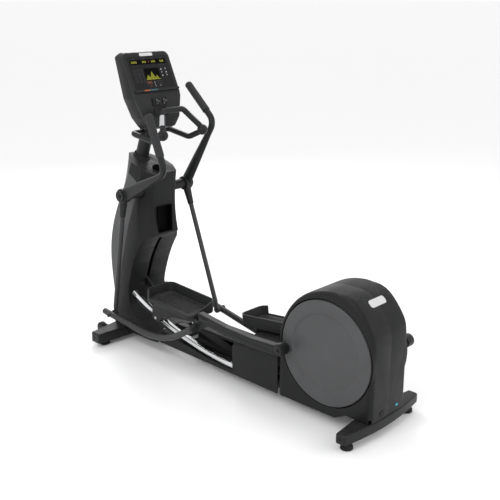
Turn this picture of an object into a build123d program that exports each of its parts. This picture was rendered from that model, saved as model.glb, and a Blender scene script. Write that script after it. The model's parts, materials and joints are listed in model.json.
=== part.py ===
"""Rear-drive elliptical trainer with swinging handles.

Frame: X runs rearwards from the console to the drive housing, Y to the user's right,
Z up. The origin is on the floor under the middle of the machine. Sizes are in mm.
The left crank pin is forward at rest, so the left pedal is forward on its rail and
the right pedal is rearward.
"""
import os
from math import atan2, cos, degrees, hypot, radians, sin, sqrt

from build123d import *

os.makedirs("parts", exist_ok=True)

# ---------------------------------------------------------------- driving dimensions
HALF_LENGTH = 1045  # the bow of the rear foot and the transport wheels reach this far
TOP_Z = 1800
SIDES = {"left": -1, "right": 1}
FIT = 0.3  # clearance between pieces that pass each other
RUNNING = 0.05  # radial clearance of a shaft in its bore

# Linkage in the side plane, as (x, z) at rest.
CRANK = (748, 394)
THROW = 247
PIN_ANGLE = 187.5  # left crank pin, anticlockwise from rearwards
RAIL_CENTRE = (140, 2120)
RAIL_R = 2000
ROLLER_R = 34
FRONT_ROLLER_X = -500
HUB = (-704, 990)
ROD_LENGTH = 824
FRONT_ROD_ANGLE = -13.4  # rod from straight down, rearwards positive
ARM_JOINT = (-145, 300)  # where the link meets the forward arm

# Mast: oval section, and the centre line that it leans along.
MAST_X, MAST_Y = 88, 72
MAST_FOOT = (-841, 1137)
MAST_HEAD = (-736, 1405)
MAST_LOW_Z = 1122
MAST_LENGTH = 318

# Distances from the middle plane, outwards.
BODY_Y = 152
DISC_IN, DISC_OUT = 139, 157
ARM_IN, ARM_OUT = 178, 226
RAIL_IN, RAIL_OUT = 108, 140
LINK_Y = 240
HUB_IN, HUB_OUT = 219, 271
ROD_TOP_Y, ROD_END_Y = 245, 209

WALL = 4


# ---------------------------------------------------------------- linkage geometry
def polar(centre, radius, angle):
    return (centre[0] + radius * cos(radians(angle)), centre[1] + radius * sin(radians(angle)))


def turned(point, angle):
    c, s = cos(radians(angle)), sin(radians(angle))
    return (point[0] * c - point[1] * s, point[0] * s + point[1] * c)


def circles_meet(a, ra, b, rb, side):
    """The crossing of two circles that lies on the given side of the line from a to b."""
    d = hypot(b[0] - a[0], b[1] - a[1])
    along = (ra**2 - rb**2 + d**2) / (2 * d)
    across = sqrt(ra**2 - along**2) * side
    ux, uz = (b[0] - a[0]) / d, (b[1] - a[1]) / d
    return (a[0] + along * ux - across * uz, a[1] + along * uz + across * ux)


def heading(a, b):
    return degrees(atan2(b[1] - a[1], b[0] - a[0]))


ROLLER_PATH_R = RAIL_R - ROLLER_R - FIT
pin_front = polar(CRANK, THROW, PIN_ANGLE)
pin_back = polar(CRANK, THROW, PIN_ANGLE - 180)
drop = sqrt(ROLLER_PATH_R**2 - (RAIL_CENTRE[0] - FRONT_ROLLER_X) ** 2)
roller_front = (FRONT_ROLLER_X, RAIL_CENTRE[1] - drop)
arm_length = hypot(pin_front[0] - roller_front[0], pin_front[1] - roller_front[1])
roller_back = circles_meet(pin_back, arm_length, RAIL_CENTRE, ROLLER_PATH_R, 1)
ARM_TURN = heading(roller_back, pin_back) - heading(roller_front, pin_front)
CARRIAGE_TURN = heading(RAIL_CENTRE, roller_back) - heading(RAIL_CENTRE, roller_front)

rod_end_front = polar(HUB, ROD_LENGTH, FRONT_ROD_ANGLE - 90)
joint_in_arm = (ARM_JOINT[0] - roller_front[0], ARM_JOINT[1] - roller_front[1])
joint_shift = turned(joint_in_arm, ARM_TURN)
joint_back = (roller_back[0] + joint_shift[0], roller_back[1] + joint_shift[1])
link_length = hypot(ARM_JOINT[0] - rod_end_front[0], ARM_JOINT[1] - rod_end_front[1])
rod_end_back = circles_meet(HUB, ROD_LENGTH, joint_back, link_length, -1)
BACK_ROD_ANGLE = heading(HUB, rod_end_back) + 90
LINK_TURN = heading(rod_end_back, joint_back) - heading(rod_end_front, ARM_JOINT)

print("pins", pin_front, pin_back)
print("rollers", roller_front, roller_back, "arm turn", ARM_TURN, "carriage turn", CARRIAGE_TURN)
print("rod ends", rod_end_front, rod_end_back, "rod angles", FRONT_ROD_ANGLE, BACK_ROD_ANGLE)
print("arm joints", ARM_JOINT, joint_back, "link turn", LINK_TURN)

# A moving part is drawn in its own side frame: pivot x, pivot z, turn.
ARM_FRAME = {"left": (*roller_front, 0), "right": (*roller_back, ARM_TURN)}
ROLLER_FRAME = {"left": (*roller_front, 0), "right": (*roller_back, 0)}
LEVER_FRAME = {"left": (*HUB, FRONT_ROD_ANGLE), "right": (*HUB, BACK_ROD_ANGLE)}
LINK_FRAME = {"left": (*rod_end_front, 0), "right": (*rod_end_back, LINK_TURN)}
FIXED = (0, 0, 0)


# ---------------------------------------------------------------- planes and helpers
def side_plane(y, frame=FIXED):
    """Plane at the given y whose local axes are rearwards and up in the frame."""
    x, z, turn = frame
    c, s = cos(radians(turn)), sin(radians(turn))
    return Plane(origin=(x, y, z), x_dir=(c, 0, s), z_dir=(0, -1, 0))


def deck_plane(height, frame=FIXED):
    """Plane at a height in the frame whose local axes are rearwards and to the right."""
    x, z, turn = frame
    c, s = cos(radians(turn)), sin(radians(turn))
    return Plane(origin=(x - height * s, 0, z + height * c), x_dir=(c, 0, s), z_dir=(-s, 0, c))


def in_frame(point, frame=FIXED):
    """World point of (x, y, z) given in a side frame."""
    dx, dz = turned((point[0], point[2]), frame[2])
    return (frame[0] + dx, point[1], frame[1] + dz)


def outward(side, length):
    """Extrusion of a side plane sketch away from the middle plane."""
    return -side * length


def bar_y(side, y_from, y_to, point, radius, frame=FIXED, mode=Mode.ADD):
    """Round bar along Y between two distances from the middle plane."""
    with BuildSketch(side_plane(side * y_from, frame)) as section:
        with Locations(point):
            Circle(radius)
    extrude(section.sketch, amount=outward(side, y_to - y_from), mode=mode)


def rod_between(start, end, r_start, r_end=None):
    """Round bar or cone between two points."""
    axis = Vector(*end) - Vector(*start)
    with BuildSketch(Plane(origin=start, z_dir=axis)) as first:
        Circle(r_start)
    if r_end is None:
        extrude(first.sketch, amount=axis.length)
    else:
        with BuildSketch(Plane(origin=end, z_dir=axis)) as last:
            Circle(r_end)
        loft([first.sketch, last.sketch])


def outline(points, radius=0):
    """Filled polygon with rounded corners, in the current sketch."""
    Polygon(*points, align=None)
    if radius:
        fillet(vertices(Select.LAST), radius)


def mast_plane(height):
    """Plane across the mast's axis, centred where the axis is at a height."""
    slope = (MAST_HEAD[0] - MAST_FOOT[0]) / (MAST_HEAD[1] - MAST_FOOT[1])
    x = MAST_FOOT[0] + slope * (height - MAST_FOOT[1])
    return Plane(origin=(x, 0, height), x_dir=(1, 0, -slope), z_dir=(slope, 0, 1))


def save(builder, name):
    builder.part.label = name
    export_step(builder.part, f"parts/{name}.step")


# ---------------------------------------------------------------- base frame
BEAM_IN, BEAM_OUT = 55, 95
BEAM_LOW, BEAM_HIGH = 66, 116
BEAM_FRONT, BEAM_REAR = -900, 960
POST_IN, POST_OUT = 60, 75
BEARING_R, AXLE_R = 31, 15
CROSS_X = (-860, -330, 300, 900)
COLUMN_IN, COLUMN_OUT = 28, 36
COLUMN = [(-965, BEAM_HIGH), (-895, BEAM_HIGH), (-735, 1120), (-805, 1120)]
RAMP_PIVOT = (250, 150)
RAMP_PIVOT_R = 12

with BuildPart() as base_frame:
    for s in SIDES.values():
        with BuildSketch(side_plane(s * BEAM_IN)):
            outline([(BEAM_FRONT, BEAM_LOW), (BEAM_REAR, BEAM_LOW), (BEAM_REAR, BEAM_HIGH),
                     (BEAM_FRONT, BEAM_HIGH)], 5)
        extrude(amount=outward(s, BEAM_OUT - BEAM_IN))
        with BuildSketch(side_plane(s * POST_IN)):
            outline([(600, 100), (900, 100), (CRANK[0] + 60, 420), (CRANK[0] - 60, 420)], 20)
            with Locations(CRANK):
                Circle(60)
                Circle(BEARING_R, mode=Mode.SUBTRACT)
        extrude(amount=outward(s, POST_OUT - POST_IN))
        with BuildSketch(side_plane(s * COLUMN_IN)):
            outline(COLUMN, 6)
            with Locations(HUB):
                Circle(45)
            outline([(-800, 960), (HUB[0], 945), (HUB[0], 1035), (-790, 1050)])
        extrude(amount=outward(s, COLUMN_OUT - COLUMN_IN))
        with BuildSketch(side_plane(s * BEAM_IN)):
            outline([(220, 100), (280, 100), (272, 172), (228, 172)], 5)
            with Locations(RAMP_PIVOT):
                Circle(RAMP_PIVOT_R, mode=Mode.SUBTRACT)
        extrude(amount=outward(s, BEAM_OUT - BEAM_IN))
    for x in CROSS_X:
        with BuildSketch(Plane.XY.offset(BEAM_LOW + 5)):
            with Locations((x, 0)):
                Rectangle(50, 2 * BEAM_IN + 20)
        extrude(amount=BEAM_HIGH - BEAM_LOW - 10)
    # Front web that ties the two column plates, and the foot they stand on.
    with BuildSketch(side_plane(COLUMN_OUT)):
        outline([(-975, 100), (-965, 100), (-805, 1120), (-815, 1120)])
    extrude(amount=2 * COLUMN_OUT)
    with BuildSketch(Plane.XY.offset(BEAM_HIGH - 6)):
        with Locations((-930, 0)):
            Rectangle(110, 2 * BEAM_OUT - 10)
    extrude(amount=12)
    # Seat for the foot of the mast.
    with BuildSketch(Plane.XY.offset(1090)):
        with Locations((-818, 0)):
            Rectangle(150, 2 * COLUMN_OUT)
    extrude(amount=14)
    with BuildSketch(mast_plane(MAST_LOW_Z)):
        Ellipse(MAST_X / 2 + FIT, MAST_Y / 2 + FIT)
    extrude(amount=100, mode=Mode.SUBTRACT)
    bar_y(1, -60, 60, HUB, 30.5, mode=Mode.SUBTRACT)
save(base_frame, "base_frame")

# ---------------------------------------------------------------- stabilisers and feet
REAR_FOOT = (983, 262)
FRONT_FOOT = (-911, 290)
PAD_R = 33
PAD_H = 26
REAR_BAR_LOW, REAR_BAR_HIGH = 44, 96
FRONT_BAR_LOW, FRONT_BAR_HIGH = 30, 92

with BuildPart() as rear_stabiliser:
    with BuildSketch(Plane.XY.offset(REAR_BAR_LOW)):
        with BuildLine():
            Line((955, -320), (1012, -320))
            ThreePointArc((1012, -320), (HALF_LENGTH, 0), (1012, 320))
            Line((1012, 320), (955, 320))
            Line((955, 320), (930, 100))
            Line((930, 100), (930, -100))
            Line((930, -100), (955, -320))
        make_face()
        fillet(vertices().filter_by(lambda v: abs(v.Y) > 300), 12)
    extrude(amount=REAR_BAR_HIGH - REAR_BAR_LOW)
    fillet(edges().filter_by(Plane.XY).group_by(Axis.Z)[-1], 9)
    fillet(edges().filter_by(Plane.XY).group_by(Axis.Z)[0], 5)
    # Notch that lets the bar sit round the ends of the beams.
    with BuildSketch(Plane.XY.offset(BEAM_LOW - FIT)):
        with Locations((930, 0)):
            Rectangle(62, 2 * BEAM_OUT + 1)
    extrude(amount=60, mode=Mode.SUBTRACT)
    # Screw holes in the end faces and threaded holes for the levelling feet.
    for s in SIDES.values():
        with BuildSketch(side_plane(s * 321)):
            with Locations((984, 70)):
                Circle(5)
        extrude(amount=outward(s, -22), mode=Mode.SUBTRACT)
        with BuildSketch(Plane.XY.offset(REAR_BAR_LOW - 1)):
            with Locations((REAR_FOOT[0], s * REAR_FOOT[1])):
                Circle(6)
        extrude(amount=40, mode=Mode.SUBTRACT)
save(rear_stabiliser, "rear_stabiliser")

with BuildPart() as front_stabiliser:
    with BuildSketch(Plane.XY.offset(FRONT_BAR_LOW)):
        outline([(-945, -365), (-868, -365), (-850, -120), (-850, 120), (-868, 365), (-945, 365),
                 (-985, 120), (-985, -120)], 10)
    extrude(amount=FRONT_BAR_HIGH - FRONT_BAR_LOW)
    fillet(edges().filter_by(Plane.XY).group_by(Axis.Z)[-1], 9)
    with BuildSketch(Plane.XY.offset(BEAM_LOW - FIT)):
        with Locations((-875, 0)):
            Rectangle(62, 2 * BEAM_OUT + 1)
    extrude(amount=60, mode=Mode.SUBTRACT)
    for s in SIDES.values():
        # Fork that carries the transport wheel in front of the bar.
        for y in (208, 250):
            with BuildSketch(side_plane(s * y)):
                with BuildLine():
                    Polyline((-950, 40), (-950, 86), (-1005, 86))
                    ThreePointArc((-1005, 86), (-1026, 58), (-1005, 34))
                    Line((-1005, 34), (-950, 40))
                make_face()
                with Locations((-1005, 62)):
                    Circle(5 + RUNNING, mode=Mode.SUBTRACT)
            extrude(amount=outward(s, 8))
        bar_y(s, 216.2, 249.8, (-1005, 62), 43, mode=Mode.SUBTRACT)
        with BuildSketch(side_plane(s * 366)):
            with Locations((-908, 58)):
                Circle(5)
        extrude(amount=outward(s, -20), mode=Mode.SUBTRACT)
        with BuildSketch(Plane.XY.offset(FRONT_BAR_LOW - 1)):
            with Locations((FRONT_FOOT[0], s * FRONT_FOOT[1])):
                Circle(6)
        extrude(amount=45, mode=Mode.SUBTRACT)
save(front_stabiliser, "front_stabiliser")


with BuildPart() as levelling_feet:
    for place, bar_low in ((REAR_FOOT, REAR_BAR_LOW), (FRONT_FOOT, FRONT_BAR_LOW)):
        for s in SIDES.values():
            x, y = place[0], s * place[1]
            with BuildSketch(Plane(origin=(x, y, 0), x_dir=(1, 0, 0), z_dir=(0, -1, 0))):
                outline([(0, 0), (PAD_R - 3, 0), (PAD_R, 4), (PAD_R - 2, PAD_H - 8),
                         (14, PAD_H), (0, PAD_H)])
            revolve(axis=Axis((x, y, 0), (0, 0, 1)))
            with BuildSketch(Plane(origin=(x, y, PAD_H - 4))):
                Circle(6)
            extrude(amount=bar_low + 30 - PAD_H)
save(levelling_feet, "levelling_feet")

WHEEL_AXLE = (-1005, 62)
WHEEL_R = HALF_LENGTH + WHEEL_AXLE[0]
for name, s in SIDES.items():
    with BuildPart() as wheel:
        with BuildSketch(side_plane(s * 219)):
            with Locations(WHEEL_AXLE):
                Circle(WHEEL_R)
                Circle(6, mode=Mode.SUBTRACT)
        extrude(amount=outward(s, 28))
        fillet(edges().filter_by(GeomType.CIRCLE).sort_by(SortBy.RADIUS)[-2:], 4)
        bar_y(s, 216.5, 249.5, WHEEL_AXLE, 9)
        bar_y(s, 210, 255, WHEEL_AXLE, 5)
    save(wheel, f"transport_wheel_{name}")

# ---------------------------------------------------------------- crank drive
DISC_R = 281
PULLEY_R = 190
FLYWHEEL = (534, 168)
FLYWHEEL_R = 86
SMALL_PULLEY_R = 28
BELT_FROM, BELT_TO = -22, 0

with BuildPart() as crank_axle:
    bar_y(1, -DISC_IN, DISC_IN, CRANK, AXLE_R)
save(crank_axle, "crank_axle")

with BuildPart() as crank_bearings:
    for s in SIDES.values():
        with BuildSketch(side_plane(s * POST_IN)):
            with Locations(CRANK):
                Circle(BEARING_R)
                Circle(AXLE_R + RUNNING, mode=Mode.SUBTRACT)
        extrude(amount=outward(s, POST_OUT - POST_IN))
save(crank_bearings, "crank_bearings")

for name, s in SIDES.items():
    pin = pin_front if name == "left" else pin_back
    with BuildPart() as disc:
        # Half section of the disc: a flat rim, then a shallow dish inside a rounded step.
        with BuildSketch(Plane(origin=(CRANK[0], 0, CRANK[1]), x_dir=(1, 0, 0), z_dir=(0, 0, 1))):
            with BuildLine():
                Polyline((0, s * DISC_IN), (DISC_R - 3, s * DISC_IN), (DISC_R, s * (DISC_IN + 3)),
                         (DISC_R, s * (DISC_OUT - 4)), (DISC_R - 4, s * DISC_OUT), (216, s * DISC_OUT))
                Polyline((216, s * DISC_OUT), (205, s * (DISC_OUT - 6)), (196, s * (DISC_OUT - 6)),
                         (168, s * (DISC_OUT - 1)), (0, s * (DISC_OUT - 1)), (0, s * DISC_IN))
            make_face()
        revolve(axis=Axis((CRANK[0], 0, CRANK[1]), (0, 1, 0)))
        bar_y(s, DISC_OUT - 6, ARM_IN - FIT, pin, 25)
    save(disc, f"crank_disc_{name}")

with BuildPart() as crank_pulley:
    with BuildSketch(side_plane(BELT_TO)):
        with Locations(CRANK):
            Circle(PULLEY_R)
            Circle(AXLE_R, mode=Mode.SUBTRACT)
        with Locations(CRANK):
            with PolarLocations(112, 6):
                Circle(38, mode=Mode.SUBTRACT)
    extrude(amount=BELT_TO - BELT_FROM)
save(crank_pulley, "crank_pulley")

with BuildPart() as drive_belt:
    with BuildSketch(side_plane(BELT_TO - 2)):
        with Locations(CRANK):
            Circle(PULLEY_R + FIT + 4)
        with Locations(FLYWHEEL):
            Circle(SMALL_PULLEY_R + FIT + 4)
        make_hull()
        with BuildSketch(side_plane(BELT_TO - 2), mode=Mode.PRIVATE) as belt_inside:
            with Locations(CRANK):
                Circle(PULLEY_R + FIT)
            with Locations(FLYWHEEL):
                Circle(SMALL_PULLEY_R + FIT)
            make_hull()
        add(belt_inside.sketch_local, mode=Mode.SUBTRACT)
    extrude(amount=BELT_TO - BELT_FROM - 4)
save(drive_belt, "drive_belt")

with BuildPart() as flywheel:
    bar_y(1, 8, 48, FLYWHEEL, FLYWHEEL_R)
    bar_y(1, BELT_FROM, BELT_TO + 8, FLYWHEEL, SMALL_PULLEY_R)
    bar_y(1, -53, 53, FLYWHEEL, 10)
save(flywheel, "flywheel")

with BuildPart() as flywheel_bracket:
    for s in SIDES.values():
        with BuildSketch(side_plane(s * (BEAM_IN - 6))):
            outline([(470, BEAM_HIGH), (580, BEAM_HIGH), (552, 190), (492, 190)], 8)
            with Locations(FLYWHEEL):
                Circle(24)
                Circle(10 + RUNNING, mode=Mode.SUBTRACT)
        extrude(amount=outward(s, 5))
        with BuildSketch(Plane.XY.offset(BEAM_HIGH)):
            with Locations((525, s * 66)):
                Rectangle(110, 36)
        extrude(amount=5)
save(flywheel_bracket, "flywheel_bracket")

# ---------------------------------------------------------------- drive housing
SEAM_X = 432
WELL_R = 288
WELL_IN = 122
REAR_X = 1040
CROWN = 30
BADGE_W, BADGE_H = 124, 42


# Flat seat for the badge, square to the crown's curve.
crown_line = Spline((748, 727), (915, 706), (1005, 610), (REAR_X, 400), tangents=((1, 0), (0, -1)))
badge_at = crown_line @ 0.4
crown_run = crown_line % 0.4
badge_normal = (-crown_run.Y, 0, crown_run.X)
BADGE_SEAT = Plane(origin=(badge_at.X, 0, badge_at.Y), x_dir=(0, 1, 0), z_dir=badge_normal).offset(-1.8)
print("badge", badge_at, crown_run)


def housing_outline(inset=0):
    """Side view of the drive housing, in the current sketch."""
    with BuildLine() as rim:
        Line((SEAM_X + inset, 62 + inset), (SEAM_X + inset, 330))
        ThreePointArc((SEAM_X + inset, 330), (524 + inset * 0.7, 610 - inset * 0.7), (748, 727 - inset))
        Spline((748, 727 - inset), (915 - inset * 0.5, 706 - inset), (1005 - inset, 610 - inset * 0.5),
               (REAR_X - inset, 400), tangents=((1, 0), (0, -1)))
        Polyline((REAR_X - inset, 400), (REAR_X - inset, 100 + inset), (890, 100 + inset),
                 (820, 62 + inset), (SEAM_X + inset, 62 + inset))
    make_face(rim.edges())


CORNER_STEP = 18  # the hollow stands this far in beside the rounded crown

for name, s in SIDES.items():
    with BuildPart() as housing:
        with BuildSketch(side_plane(0)):
            housing_outline()
        extrude(amount=outward(s, BODY_Y))
        outer_edges = edges().filter_by(lambda e: abs(abs(e.center().Y) - BODY_Y) < 0.1)
        fillet(outer_edges.filter_by(lambda e: e.center().Z > 110 and e.center().X > SEAM_X + 5), CROWN)
        for inset, half_width in ((WALL, BODY_Y - CROWN), (CORNER_STEP, BODY_Y - WALL)):
            with BuildSketch(side_plane(0)):
                housing_outline(inset)
            extrude(amount=outward(s, half_width), mode=Mode.SUBTRACT)
        # Round well the crank disc sits in.
        bar_y(s, WELL_IN - WALL, BODY_Y - WALL, CRANK, WELL_R + WALL)
        bar_y(s, WELL_IN, BODY_Y + 5, CRANK, WELL_R, mode=Mode.SUBTRACT)
        bar_y(s, WELL_IN - 10, WELL_IN + 5, CRANK, 40, mode=Mode.SUBTRACT)
        with BuildSketch(BADGE_SEAT):
            RectangleRounded(BADGE_W + 0.6, BADGE_H + 0.6, 14.3)
        extrude(amount=20, mode=Mode.SUBTRACT)
        # Open underneath, round the beams.
        with BuildSketch(Plane.XY.offset(40)):
            with Locations(((SEAM_X + REAR_X) / 2, 0)):
                Rectangle(REAR_X - SEAM_X - 2 * WALL, 2 * (BODY_Y - WALL))
        extrude(amount=BEAM_HIGH + 4 - 40, mode=Mode.SUBTRACT)
        with BuildSketch(Plane.XY.offset(40)):
            with Locations((SEAM_X, 0)):
                Rectangle(30, 2 * (BODY_Y - WALL))
        extrude(amount=BEAM_HIGH + 4 - 40, mode=Mode.SUBTRACT)
        # Room for the rear stabiliser.
        with BuildSketch(Plane.XY.offset(55)):
            with Locations((990, 0)):
                Rectangle(200, 2 * BODY_Y + 20)
        extrude(amount=REAR_BAR_HIGH + FIT - 55, mode=Mode.SUBTRACT)
    save(housing, f"drive_housing_{name}")

STATUS_LIGHT = (REAR_X, 74, 132)
with BuildPart() as status_light:
    with BuildSketch(Plane(origin=STATUS_LIGHT, x_dir=(0, 1, 0), z_dir=(1, 0, 0))):
        RectangleRounded(20, 9, 4)
    extrude(amount=1.5)
save(status_light, "status_light")

with BuildPart() as power_inlet:
    with BuildSketch(Plane(origin=(REAR_X, -52, 128), x_dir=(0, 1, 0), z_dir=(1, 0, 0))):
        RectangleRounded(32, 24, 4)
        RectangleRounded(22, 15, 2, mode=Mode.SUBTRACT)
    extrude(amount=2.5)
    with BuildSketch(Plane(origin=(REAR_X, -52, 128), x_dir=(0, 1, 0), z_dir=(1, 0, 0))):
        RectangleRounded(22, 15, 2)
    extrude(amount=0.8)
save(power_inlet, "power_inlet")

# ---------------------------------------------------------------- base covers
OPENING_X = 92  # front end of the raised rear cover, where the rails go in
RAIL_H = 30
SKIRT_TOP_R = RAIL_R + RAIL_H + 6
SKIRT_FRONT_X = -560


def rail_point(x, radius):
    """Point on a circle about the rail's centre of curvature."""
    return (x, RAIL_CENTRE[1] - sqrt(radius**2 - (x - RAIL_CENTRE[0]) ** 2))


for name, s in SIDES.items():
    with BuildPart() as cover:
        rear_end = SEAM_X - 0.6
        with BuildSketch(side_plane(0)):
            outline([(OPENING_X, 64), (rear_end, 62), (rear_end, 297), (OPENING_X + 26, 269),
                     (OPENING_X, 250)])
        extrude(amount=outward(s, BODY_Y))
        outer_top = edges().filter_by(lambda e: abs(abs(e.center().Y) - BODY_Y) < 0.1 and e.center().Z > 200)
        fillet(outer_top.filter_by(lambda e: e.center().X < rear_end - 5), 16)
        with BuildSketch(side_plane(0)):
            outline([(OPENING_X - 5, 50), (rear_end + 5, 50), (rear_end + 5, 292), (OPENING_X + 28, 264),
                     (OPENING_X + 4, 246), (OPENING_X - 5, 246)])
        extrude(amount=outward(s, BODY_Y - WALL), mode=Mode.SUBTRACT)
        # Long skirt under the rail.
        with BuildSketch(side_plane(s * (BODY_Y - WALL))):
            with BuildLine():
                Line((OPENING_X, 64), rail_point(OPENING_X, SKIRT_TOP_R))
                ThreePointArc(rail_point(OPENING_X, SKIRT_TOP_R), rail_point(-90, SKIRT_TOP_R),
                              rail_point(-270, SKIRT_TOP_R))
                Spline(rail_point(-270, SKIRT_TOP_R), (-400, 129), (SKIRT_FRONT_X, 112))
                Line((SKIRT_FRONT_X, 112), (SKIRT_FRONT_X, 78))
                Line((SKIRT_FRONT_X, 78), (OPENING_X, 64))
            make_face()
        extrude(amount=outward(s, WALL))
    save(cover, f"base_cover_{name}")

HOOD_Y = 80
with BuildPart() as spine_cover:
    with BuildSketch(side_plane(HOOD_Y)):
        outline([(-272, 117), (85, 117), (85, 229), (-240, 229), (-272, 196)], 6)
    extrude(amount=2 * HOOD_Y)
    fillet(edges().filter_by(lambda e: abs(abs(e.center().Y) - HOOD_Y) < 0.1 and e.center().Z > 150), 12)
    with BuildSketch(side_plane(HOOD_Y - WALL)):
        outline([(-268, 100), (90, 100), (90, 225), (-238, 225), (-268, 194)])
    extrude(amount=2 * (HOOD_Y - WALL), mode=Mode.SUBTRACT)
save(spine_cover, "spine_cover")

# ---------------------------------------------------------------- ramp and lift
RAIL_FRONT_X, RAIL_REAR_X = -786, 300
WEB_H = 26


def rail_band(x_front, x_rear, r_top, r_low):
    """Curved strip between two radii, in the current sketch."""
    middle = (x_front + x_rear) / 2
    corners = ((x_front, r_top), (x_rear, r_top), (x_rear, r_low), (x_front, r_low))
    ends = [rail_point(x, r) for x, r in corners]
    with BuildLine() as band:
        ThreePointArc(ends[0], rail_point(middle, r_top), ends[1])
        Line(ends[1], ends[2])
        ThreePointArc(ends[2], rail_point(middle, r_low), ends[3])
        Line(ends[3], ends[0])
    make_face(band.edges())


# Each rail is a rounded section turned about the middle of its curve.
rail_from = heading(RAIL_CENTRE, rail_point(RAIL_FRONT_X, RAIL_R))
rail_to = heading(RAIL_CENTRE, rail_point(RAIL_REAR_X, RAIL_R))
rail_middle = (RAIL_CENTRE[0], 0, RAIL_CENTRE[1])
radial = (cos(radians(rail_from)), 0, sin(radians(rail_from)))
for name, s in SIDES.items():
    with BuildPart() as rail:
        with BuildSketch(Plane(origin=rail_middle, x_dir=radial, z_dir=(-radial[2], 0, radial[0]))):
            with Locations((RAIL_R + RAIL_H / 2, s * (RAIL_IN + RAIL_OUT) / 2)):
                RectangleRounded(RAIL_H, RAIL_OUT - RAIL_IN, 9)
        revolve(axis=Axis(rail_middle, (0, -1, 0)), revolution_arc=rail_to - rail_from)
    save(rail, f"ramp_rail_{name}")

LIFT_NUT = (-880, 450)
COLUMN_LEAN = heading((-930, BEAM_HIGH), (-770, 1120))
with BuildPart() as ramp_frame:
    for s in SIDES.values():
        with BuildSketch(side_plane(s * (RAIL_IN + 9))):
            rail_band(RAIL_FRONT_X + 20, RAIL_REAR_X - 20, RAIL_R + RAIL_H, RAIL_R + RAIL_H + WEB_H)
        extrude(amount=outward(s, 14))
        with BuildSketch(side_plane(s * 98)):
            outline([(205, 66), (290, 66), (268, 172), (232, 172)], 5)
            with Locations(RAMP_PIVOT):
                Circle(RAMP_PIVOT_R, mode=Mode.SUBTRACT)
        extrude(amount=outward(s, RAIL_IN - FIT - 98))
        with BuildSketch(Plane.XY.offset(66)):
            with Locations((245, s * 110)):
                Rectangle(70, 24)
        extrude(amount=10)
    for x, low in ((-620, 206), (-330, 118)):
        with BuildSketch(Plane.XY.offset(low)):
            with Locations((x, 0)):
                Rectangle(36, 2 * (RAIL_IN + 12))
        extrude(amount=18)
    # Lug that reaches through the tower slot to the lift nut.
    with BuildSketch(side_plane(9)):
        outline([(-638, 206), (-602, 206), (-602, 224), (-700, 300), LIFT_NUT, (-890, 430), (-720, 262)])
    extrude(amount=18)
    with BuildSketch(Plane(origin=(LIFT_NUT[0], 0, LIFT_NUT[1]), x_dir=(0, 1, 0),
                           z_dir=(cos(radians(COLUMN_LEAN)), 0, sin(radians(COLUMN_LEAN))))):
        Circle(17)
    extrude(amount=22, both=True)
    with BuildSketch(Plane(origin=(LIFT_NUT[0], 0, LIFT_NUT[1]), x_dir=(0, 1, 0),
                           z_dir=(cos(radians(COLUMN_LEAN)), 0, sin(radians(COLUMN_LEAN))))):
        Circle(9 + RUNNING)
    extrude(amount=60, both=True, mode=Mode.SUBTRACT)
save(ramp_frame, "ramp_frame")

with BuildPart() as ramp_pivot_shaft:
    bar_y(1, -106, 106, RAMP_PIVOT, RAMP_PIVOT_R)
save(ramp_pivot_shaft, "ramp_pivot_shaft")

screw_low = polar(LIFT_NUT, -60, COLUMN_LEAN)
screw_high = polar(LIFT_NUT, 190, COLUMN_LEAN)
motor_high = polar(LIFT_NUT, 370, COLUMN_LEAN)
with BuildPart() as lift_screw:
    rod_between((screw_low[0], 0, screw_low[1]), (screw_high[0], 0, screw_high[1]), 9)
save(lift_screw, "lift_screw")

with BuildPart() as lift_motor:
    rod_between((screw_high[0], 0, screw_high[1]), (motor_high[0], 0, motor_high[1]), 26)
    fillet(edges().filter_by(GeomType.CIRCLE), 4)
save(lift_motor, "lift_motor")

# ---------------------------------------------------------------- rollers and pedal arms
ROLLER_IN, ROLLER_OUT = 111, 137
TOE_IN, TOE_OUT = 165, 205
PEDAL_IN, PEDAL_OUT = 45, 255
PEDAL_LENGTH = 400
PEDAL_FLOOR = (-340, 378)  # middle of the tray floor on the forward arm
PEDAL_PITCH = -3.7
FLOOR_T = 12
WALL_H = 60
LOW_WALL_H = 12
TRAY_WALL = 8


def on_arm(points):
    """Points of the forward arm as seen from its roller."""
    return [(x - roller_front[0], z - roller_front[1]) for x, z in points]


for name, s in SIDES.items():
    frame = ROLLER_FRAME[name]
    with BuildPart() as roller:
        bar_y(s, ROLLER_IN, ROLLER_OUT, (0, 0), ROLLER_R, frame)
        fillet(edges().filter_by(GeomType.CIRCLE), 5)
        bar_y(s, ROLLER_IN - 2, ROLLER_OUT + 2, (0, 0), 15, frame)
        bar_y(s, ROLLER_IN - 5, ROLLER_OUT + 5, (0, 0), 9 + RUNNING, frame, Mode.SUBTRACT)
    save(roller, f"ramp_roller_{name}")

    with BuildPart() as roller_axle:
        bar_y(s, ROLLER_IN - 7, TOE_OUT + 4, (0, 0), 9, frame)
        bar_y(s, ROLLER_IN - 10, ROLLER_IN - 4, (0, 0), 14, frame)
        bar_y(s, ROLLER_OUT + 4, TOE_IN - 2, (0, 0), 14, frame)
    save(roller_axle, f"roller_axle_{name}")

BEAM = on_arm([(-118, 404), (100, 377), (300, 370), (478, 379),
               (478, 322), (300, 315), (100, 321), (-96, 350)])
TOE = on_arm([(-126, 350), (-300, 361), (-480, 373), (-532, 330), (-530, 248), (-474, 238), (-436, 284),
              (-330, 308), (-110, 330)])
EAR = on_arm([(-96, 358), (-20, 350), (-122, 284), (-164, 284), (-166, 316), (-138, 350)])
pin_on_arm = on_arm([pin_front])[0]
joint_on_arm = on_arm([ARM_JOINT])[0]

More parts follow.
